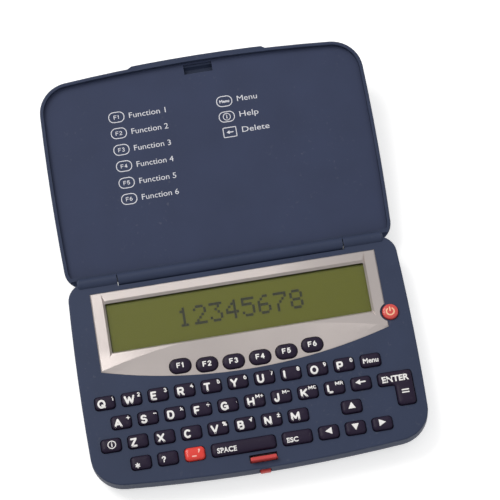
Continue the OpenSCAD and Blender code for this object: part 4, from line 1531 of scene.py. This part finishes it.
@dataclass
class DisplayBezel:
    """Silver plate around the display: a frame that slopes to the opening, and a front facet.

    Attributes:
        finishes: The object's finishes.
        opening_width: Width of the display opening at its lower edge.
        opening_depth: Depth of the opening.
        opening_y: Middle of the opening.
        bow: Radius of the curved front edge.
        bow_front: Y of the middle of that edge.
        edge: Width of the bevelled outer edge.
        edge_foot: Least height of that edge, just above the fascia.
        bevel: Width of the opening's slope.
        crease_middle: Y of the highest point of the crease above the front facet.
        oval_gap: Gap round an oval key.
        ring_gap: Gap round the power button.
        side_drop: How far the plate falls to its left and right edges.
        lens_drop: How far the front facet falls to the front edge.
        columns: Spacing of the corners that give the crown its shading.
        left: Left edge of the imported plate.
        right: Its right edge.
        rear: Its rear edge.
        foot: Its lower face.
        top: Its upper face.
    """

    finishes: Finishes
    opening_width: float = 96.6
    opening_depth: float = 19.5
    opening_y: float = 22.2
    bow: float = 189.0
    bow_front: float = -2.4
    edge: float = 0.4
    edge_foot: float = 10.62
    bevel: float = 0.8
    crease_middle: float = 12.9
    oval_gap: float = 0.25
    ring_gap: float = 0.85
    side_drop: float = 0.05
    lens_drop: float = 0.42
    columns: float = 4.0
    left: float = field(init=False)
    right: float = field(init=False)
    rear: float = field(init=False)
    foot: float = field(init=False)
    top: float = field(init=False)

    def __post_init__(self) -> None:
        """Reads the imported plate's limits."""
        low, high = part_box("display_bezel")
        self.left, self.right = low.x / MM, high.x / MM
        self.rear, self.foot, self.top = high.y / MM, low.z / MM, high.z / MM

    def build(self) -> int:
        """Makes the plate."""
        inner = self._outline(self.edge)
        half_w, half_d = self.opening_width / 2, self.opening_depth / 2
        opening = rectangle(-half_w, self.opening_y - half_d, half_w, self.opening_y + half_d)
        slope = rounded(opening, 0.6, -self.bevel, 4)
        holes = [rounded(opening, 0.3, 0.0, 4)] + self._ovals() + [self._notch()]
        creases = [inner + inner[:1], slope + slope[:1], self._crease()] + self._grid()
        points, faces = plate(
            [self._outline(0.0)], holes, creases, self._height, lambda x, y: self.foot
        )
        material = self.finishes.by_slot[Slot.BEZEL]
        piece = new_piece("bezel_plate", points, faces, "base", Slot.BEZEL, material, 12.0)
        self._crown(piece)
        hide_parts("display_bezel")
        return 1

    def _grid(self) -> list[Path]:
        """Returns the lines that give the crowned face its extra corners."""
        steps = round((self.right - self.left) / self.columns)
        xs = [self.left + (self.right - self.left) * i / steps for i in range(1, steps)]
        levels = [self.opening_y - 8.0, self.opening_y + 8.0, 10.3, 7.5, 5.0]
        upright: list[Path] = [[(x, self.bow_front + 0.01), (x, self.rear)] for x in xs]
        level: list[Path] = [[(self.left, y), (self.right, y)] for y in levels]
        return upright + level

    def _crown(self, piece: bpy.types.Object) -> None:
        """Gives the plate's upper face the shading of the soft crown that its paint has.

        Args:
            piece: The plate.
        """
        mesh = piece.data
        normals: list[Vector] = [Vector(corner.vector) for corner in mesh.corner_normals]
        for face in mesh.polygons:
            middle = face.center / MM
            if face.normal.z < 0.985 or middle.z < self.top - self.lens_drop - 0.1:
                continue
            lens = middle.y < self._crease_y(middle.x)
            for loop in face.loop_indices:
                place = mesh.vertices[mesh.loops[loop].vertex_index].co / MM
                lean = math.radians(self._lean(place.x, place.y, lens))
                normals[loop] = (face.normal + Vector((-math.tan(lean), 0.0, 0.0))).normalized()
        mesh.normals_split_custom_set(normals)

    def _lean(self, x: float, y: float, lens: bool) -> float:
        """Returns by how many degrees the crown leans to the left at a place.

        Args:
            x: Across the plate.
            y: Along the plate.
            lens: Whether the place is on the front facet.

        Returns:
            Degrees, negative where it leans to the right.
        """
        if lens:
            away = self._crease_y(x) - y
            streak = blend(x, ((15.0, 0.0), (30.0, 0.8), (40.0, 1.2), (47.0, 3.0)))
            spread = blend(x, ((-53.3, -4.0), (-10.0, -4.0), (25.0, 0.5), (53.3, 1.0)))
            return spread + streak * max(0.0, 1.0 - away / 2.0)
        if y > self.opening_y + self.opening_depth / 2:
            stops = ((-53.3, 1.4), (-15.0, 1.9), (15.0, 2.6), (30.0, -0.5), (45.0, -4.0))
            return blend(x, stops)
        if y > self.opening_y - self.opening_depth / 2:
            return 1.0 if x < 0 else -4.0
        stops = (
            (-48.0, 3.7), (-44.0, 3.3), (-40.0, 2.4), (-34.0, 1.2), (-28.0, 0.6), (-20.0, -1.5),
            (-10.0, -4.0),
        )
        return blend(x, stops)

    def _bow_y(self, x: float, inset: float = 0.0) -> float:
        """Returns the y of the curved front edge at x."""
        centre = self.bow_front + self.bow
        return centre - math.sqrt((self.bow - inset) ** 2 - x * x)

    def _outline(self, inset: float) -> Path:
        """Returns the plate's outline drawn in by inset, counterclockwise."""
        left, right, rear = self.left + inset, self.right - inset, self.rear - inset
        steps = 24
        xs = [left + (right - left) * i / steps for i in range(steps + 1)]
        return [(x, self._bow_y(x, inset)) for x in xs] + [(right, rear), (left, rear)]

    def _crease_y(self, x: float) -> float:
        """Returns the y of the crease at x: a shallow arch from corner to corner."""
        corner_y = self._bow_y(self.right - self.edge, self.edge)
        share = min(1.0, abs(x) / (self.right - self.edge))
        return corner_y + (self.crease_middle - corner_y) * (1 - share * share)

    def _crease(self) -> Path:
        """Returns the crease between the frame and the front facet."""
        reach = self.right - self.edge
        return [(reach * (i / 14 - 1), self._crease_y(reach * (i / 14 - 1))) for i in range(29)]

    def _ovals(self) -> list[Path]:
        """Returns the openings for the function keys."""
        keys = FunctionKeys(self.finishes)
        return [keys.ring(number, -self.oval_gap) for number in range(1, keys.count + 1)]

    def _notch(self) -> Path:
        """Returns the round cut for the power button."""
        low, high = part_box("power_button")
        centre = ((low.x + high.x) / 2 / MM, (low.y + high.y) / 2 / MM)
        return circle(centre, PowerButton.radius + self.ring_gap, 40)

    def _height(self, x: float, y: float) -> float:
        """Returns the height of the upper face."""
        front = self._bow_y(x)
        away = min(x - self.left, self.right - x, self.rear - y, y - front)
        half_w, half_d = self.opening_width / 2, self.opening_depth / 2
        out = max(abs(x) - half_w, abs(y - self.opening_y) - half_d)
        if out < 0.05:
            return self.foot + 0.06
        crease = self._crease_y(x)
        side = min(x - self.left, self.right - x) / (self.right - half_w)
        height = self.top - self.side_drop * max(0.0, 1.0 - side)
        if y < crease:
            share = (y - front) / max(crease - front, 0.5)
            low = self.top - self.lens_drop
            height = low + (height - low) * max(0.0, min(1.0, share))
        if out < self.bevel - 0.05:
            return self.foot + (height - self.foot) * out / self.bevel
        if away < 0.05:
            height = max(height - self.edge, self.edge_foot)
        return height


DIGITS: dict[str, tuple[str, ...]] = {
    "1": ("00100", "01100", "00100", "00100", "00100", "00100", "01110"),
    "2": ("01110", "10001", "00001", "00010", "00100", "01000", "11111"),
    "3": ("11111", "00010", "00100", "00010", "00001", "10001", "01110"),
    "4": ("00010", "00110", "01010", "10010", "11111", "00010", "00010"),
    "5": ("11111", "10000", "11110", "00001", "00001", "10001", "01110"),
    "6": ("00110", "01000", "10000", "11110", "10001", "10001", "01110"),
    "7": ("11111", "00001", "00010", "00100", "01000", "01000", "01000"),
    "8": ("01110", "10001", "10001", "01110", "10001", "10001", "01110"),
}


@dataclass
class Display:
    """Dots of the liquid crystal display, showing a row of digits.

    Attributes:
        finishes: The object's finishes.
        text: The digits.
        left: Left edge of the first digit.
        front: Lower edge of the digits.
        pitch: From one digit to the next.
        dot_pitch: From dot to dot, across and up.
        dot: Size of one dot, across and up.
    """

    finishes: Finishes
    text: str = "12345678"
    left: float = -22.6
    front: float = 18.5
    pitch: float = 6.0
    dot_pitch: Point = (0.96, 1.09)
    dot: Point = (0.93, 1.06)

    def build(self) -> int:
        """Makes the dots as one thin piece and returns how many there are."""
        sheet = InkSheet()
        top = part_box("display_module")[1].z / MM
        for place, digit in enumerate(self.text):
            for row, dots in enumerate(DIGITS[digit]):
                for column, lit in enumerate(dots):
                    if lit == "1":
                        x = self.left + place * self.pitch + column * self.dot_pitch[0]
                        y = self.front + (6 - row) * self.dot_pitch[1]
                        sheet.shapes.append(rectangle(x, y, x + self.dot[0], y + self.dot[1]))
        sheet.lay("display_dots", "base", Slot.DISPLAY, self.finishes.dot_ink, lambda x, y: top)
        return len(sheet.shapes)


@dataclass
class LidPanel:
    """Printed legend of the lid's inner panel.

    Attributes:
        finishes: The object's finishes.
        hinge: Y and height of the hinge axis.
        face: Height of the panel's face with the lid folded out flat.
        rise: Degrees by which the open lid stands above flat.
        pill: Width and depth of a key's sign.
        pill_x: Middle of the left column's signs.
        word_x: Left edge of the left column's words.
        rows: How far beyond the hinge axis each left entry stands.
        keys: Each right entry's distance beyond the hinge axis, word and width.
        key_x: Middle of the right column's signs.
        key_word_x: Left edge of the right column's words.
        cap: Height of the capitals.
        number: Height of a sign's letter and number.
        line: Width of a sign's outline.
    """

    finishes: Finishes
    hinge: Point = (41.0, 9.4)
    face: float = 6.3
    rise: float = 8.0
    pill: Point = (6.1, 4.3)
    pill_x: float = -33.4
    word_x: float = -28.6
    rows: tuple[float, ...] = (63.6, 57.2, 50.6, 44.1, 37.5, 31.1)
    keys: tuple[tuple[float, str, float], ...] = (
        (63.2, "Menu", 7.6), (57.0, "Help", 7.2), (50.8, "Delete", 10.4),
    )
    key_x: float = 7.8
    key_word_x: float = 12.7
    cap: float = 2.1
    number: float = 1.6
    line: float = 0.32

    def build(self) -> int:
        """Prints the legend and returns how many entries it has."""
        sheet = InkSheet()
        for number, away in enumerate(self.rows, 1):
            y = self.hinge[0] + away
            self._pill(sheet, self.pill_x, y)
            text = f"F{number}"
            left = self.pill_x - sheet.width_of(text, self.number, 0.3) / 2
            sheet.signs(text, left, y - self.number / 2, self.number, 0.25, 0.3)
            base = y - self.cap / 2
            sheet.word(f"Function {number}", self.word_x, base, self.cap, 14.0, Align.LEFT)
        for away, text, width in self.keys:
            y = self.hinge[0] + away
            self._mark(sheet, text, y)
            base = y - self.cap / 2 + 0.3
            sheet.word(text, self.key_word_x, base, self.cap, width, Align.LEFT)
        pivot = Vector((0.0, self.hinge[0], self.hinge[1]))
        lift = Matrix.Rotation(math.radians(self.rise), 4, "X")
        turned = Matrix.Translation(pivot) @ lift @ Matrix.Translation(-pivot)
        ink = self.finishes.lid_ink
        sheet.lay("legend_lid", "lid", Slot.PANEL, ink, lambda x, y: self.face, turned)
        return len(self.rows) + len(self.keys)

    def _mark(self, sheet: InkSheet, text: str, y: float) -> None:
        """Draws the key that an entry of the right column stands for, with its sign."""
        x = self.key_x
        if text == "Delete":
            self._pill(sheet, x + 0.2, y, 0.5, (5.2, 4.1))
            sheet.shapes.append([(x - 1.1, y), (x + 0.1, y - 0.7), (x + 0.1, y + 0.7)])
            sheet.line([(x, y), (x + 1.4, y)], 0.4)
            return
        self._pill(sheet, x, y)
        if text == "Help":
            sheet.line(circle((x, y), 1.35, 24), 0.28, closed=True)
            sheet.line([(x, y - 0.6), (x, y + 0.1)], 0.36)
            sheet.line([(x, y + 0.55), (x, y + 0.6)], 0.38)
        else:
            sheet.word(text, x, y - 0.5, 1.05, 3.6, Align.MIDDLE, 0.14)

    def _pill(
        self, sheet: InkSheet, x: float, y: float, corner: float = 2.0, size: Point | None = None
    ) -> None:
        """Draws the outline of one key.

        Args:
            sheet: The sheet that takes it.
            x: Its middle.
            y: Its middle.
            corner: Its corner radius.
            size: Its width and depth, or none for the usual oval.
        """
        across, along = (size or self.pill)[0] / 2, (size or self.pill)[1] / 2
        shape = rectangle(x - across, y - along, x + across, y + along)
        sheet.line(rounded(shape, corner, self.line / 2), self.line, closed=True)


@dataclass
class Studio:
    """Camera as the photograph was taken, a pale floor and soft light.

    Attributes:
        position: Where the camera stands, in millimetres.
        right: Its right.
        down: Its down.
        forward: Where it looks.
        lens: Focal length on a 36 mm wide sensor.
        room: Strength of the room's light.
        key_power: Power of the main light in watts.
        fill_power: Power of the second light in watts.
        side: Half the floor's width, in metres.
        under: Height of the floor, just below the object, in metres.
        lift: Light that lifts the floor toward white where it is seen.
    """

    position: tuple[float, float, float] = (-25.21, -369.08, 987.36)
    right: tuple[float, float, float] = (0.98693445, -0.15766815, -0.03318337)
    down: tuple[float, float, float] = (-0.15806469, -0.90751762, -0.38913664)
    forward: tuple[float, float, float] = (0.03123996, 0.38929748, -0.92058217)
    lens: float = 205.7
    room: float = 0.58
    key_power: float = 14.0
    fill_power: float = 2.0
    side: float = 4.0
    under: float = -0.00005
    lift: float = 0.5

    def build(self) -> int:
        """Builds the camera, the floor and the lights, and returns how many lights there are."""
        self._camera()
        self._floor()
        self._world()
        self._light("key_light", (-0.75, 0.85, 1.25), 0.9, self.key_power, (1.0, 0.985, 0.96))
        self._light("fill_light", (0.9, -0.7, 1.3), 1.4, self.fill_power, (0.96, 0.98, 1.0))
        bpy.context.scene.view_settings.view_transform = "Standard"
        return 2

    def _camera(self) -> None:
        """Sets the camera."""
        data = bpy.data.cameras.new("photo_camera")
        data.sensor_width = 36.0
        data.lens = self.lens
        data.clip_start = 0.05
        data.clip_end = 10.0
        camera = bpy.data.objects.new("photo_camera", data)
        axes = (Vector(self.right), -Vector(self.down), -Vector(self.forward))
        turn = Matrix([[axis[row] for axis in axes] for row in range(3)]).to_4x4()
        camera.matrix_world = Matrix.Translation(MM * Vector(self.position)) @ turn
        bpy.context.scene.collection.objects.link(camera)
        bpy.context.scene.camera = camera

    def _floor(self) -> None:
        """Lays a pale floor under the object, lifted toward white where it is seen."""
        material, sheet, shader = new_material("studio_floor")
        rays = sheet.add("ShaderNodeLightPath").outputs
        mirrored = sheet.math("MAXIMUM", rays["Is Glossy Ray"], rays["Is Transmission Ray"])
        seen = sheet.math("MAXIMUM", rays["Is Camera Ray"], mirrored)
        patches = sheet.ramp(sheet.noise(3.0, 1.0), 0.0, 1.0)
        plain = sheet.mix(patches, grey(0.84), grey(0.86))
        sheet.feed(shader, {
            "Base Color": sheet.mix(seen, grey(0.45), plain),
            "Emission Color": sheet.mix(seen, grey(0.0), grey(self.lift)),
            "Emission Strength": 1.0,
            "Roughness": 0.9,
            "Specular IOR Level": 0.0,
        })
        corners = rectangle(-self.side, -self.side, self.side, self.side)
        mesh = bpy.data.meshes.new("studio_floor")
        mesh.from_pydata([(x, y, self.under) for x, y in corners], [], [(0, 1, 2, 3)])
        mesh.materials.append(material)
        floor = bpy.data.objects.new("studio_floor", mesh)
        bpy.context.scene.collection.objects.link(floor)

    def _world(self) -> None:
        """Fills the room with soft light."""
        world = bpy.data.worlds.new("studio_room")
        world.use_nodes = True
        background = world.node_tree.nodes["Background"]
        background.inputs["Color"].default_value = grey(1.0)
        background.inputs["Strength"].default_value = self.room
        bpy.context.scene.world = world

    @staticmethod
    def _light(
        name: str,
        place: tuple[float, float, float],
        side: float,
        power: float,
        colour: tuple[float, float, float],
    ) -> None:
        """Hangs a square light that looks at the object.

        Args:
            name: The light's name.
            place: Where it hangs, in metres.
            side: Its side.
            power: Its power in watts.
            colour: Its colour.
        """
        data = bpy.data.lights.new(name, "AREA")
        data.size = side
        data.energy = power
        data.color = colour
        light = bpy.data.objects.new(name, data)
        light.location = place
        aim = Vector((0.0, 0.03, 0.0)) - Vector(place)
        light.rotation_euler = aim.to_track_quat("-Z", "Y").to_euler()
        bpy.context.scene.collection.objects.link(light)


def main() -> None:
    """Builds the sub-assemblies in order and reports each."""
    logging.basicConfig(level=logging.INFO, format="%(name)s: %(message)s")
    LOG.info("studio with %d lights", Studio().build())
    finishes = Finishes()
    finishes.dress_nodes()
    LOG.info("finishes on %d nodes", len(frame["nodes"]))
    LOG.info("bezel plate: %d", DisplayBezel(finishes).build())
    LOG.info("display dots: %d", Display(finishes).build())
    LOG.info("keys: %d", Keyboard(finishes).build())
    LOG.info("rubber domes: %d", KeyMat(finishes).build())
    LOG.info("function keys: %d", FunctionKeys(finishes).build())
    LOG.info("power button: %d", PowerButton(finishes).build())
    LOG.info("lid legend entries: %d", LidPanel(finishes).build())


if __name__ == "__main__":
    main()
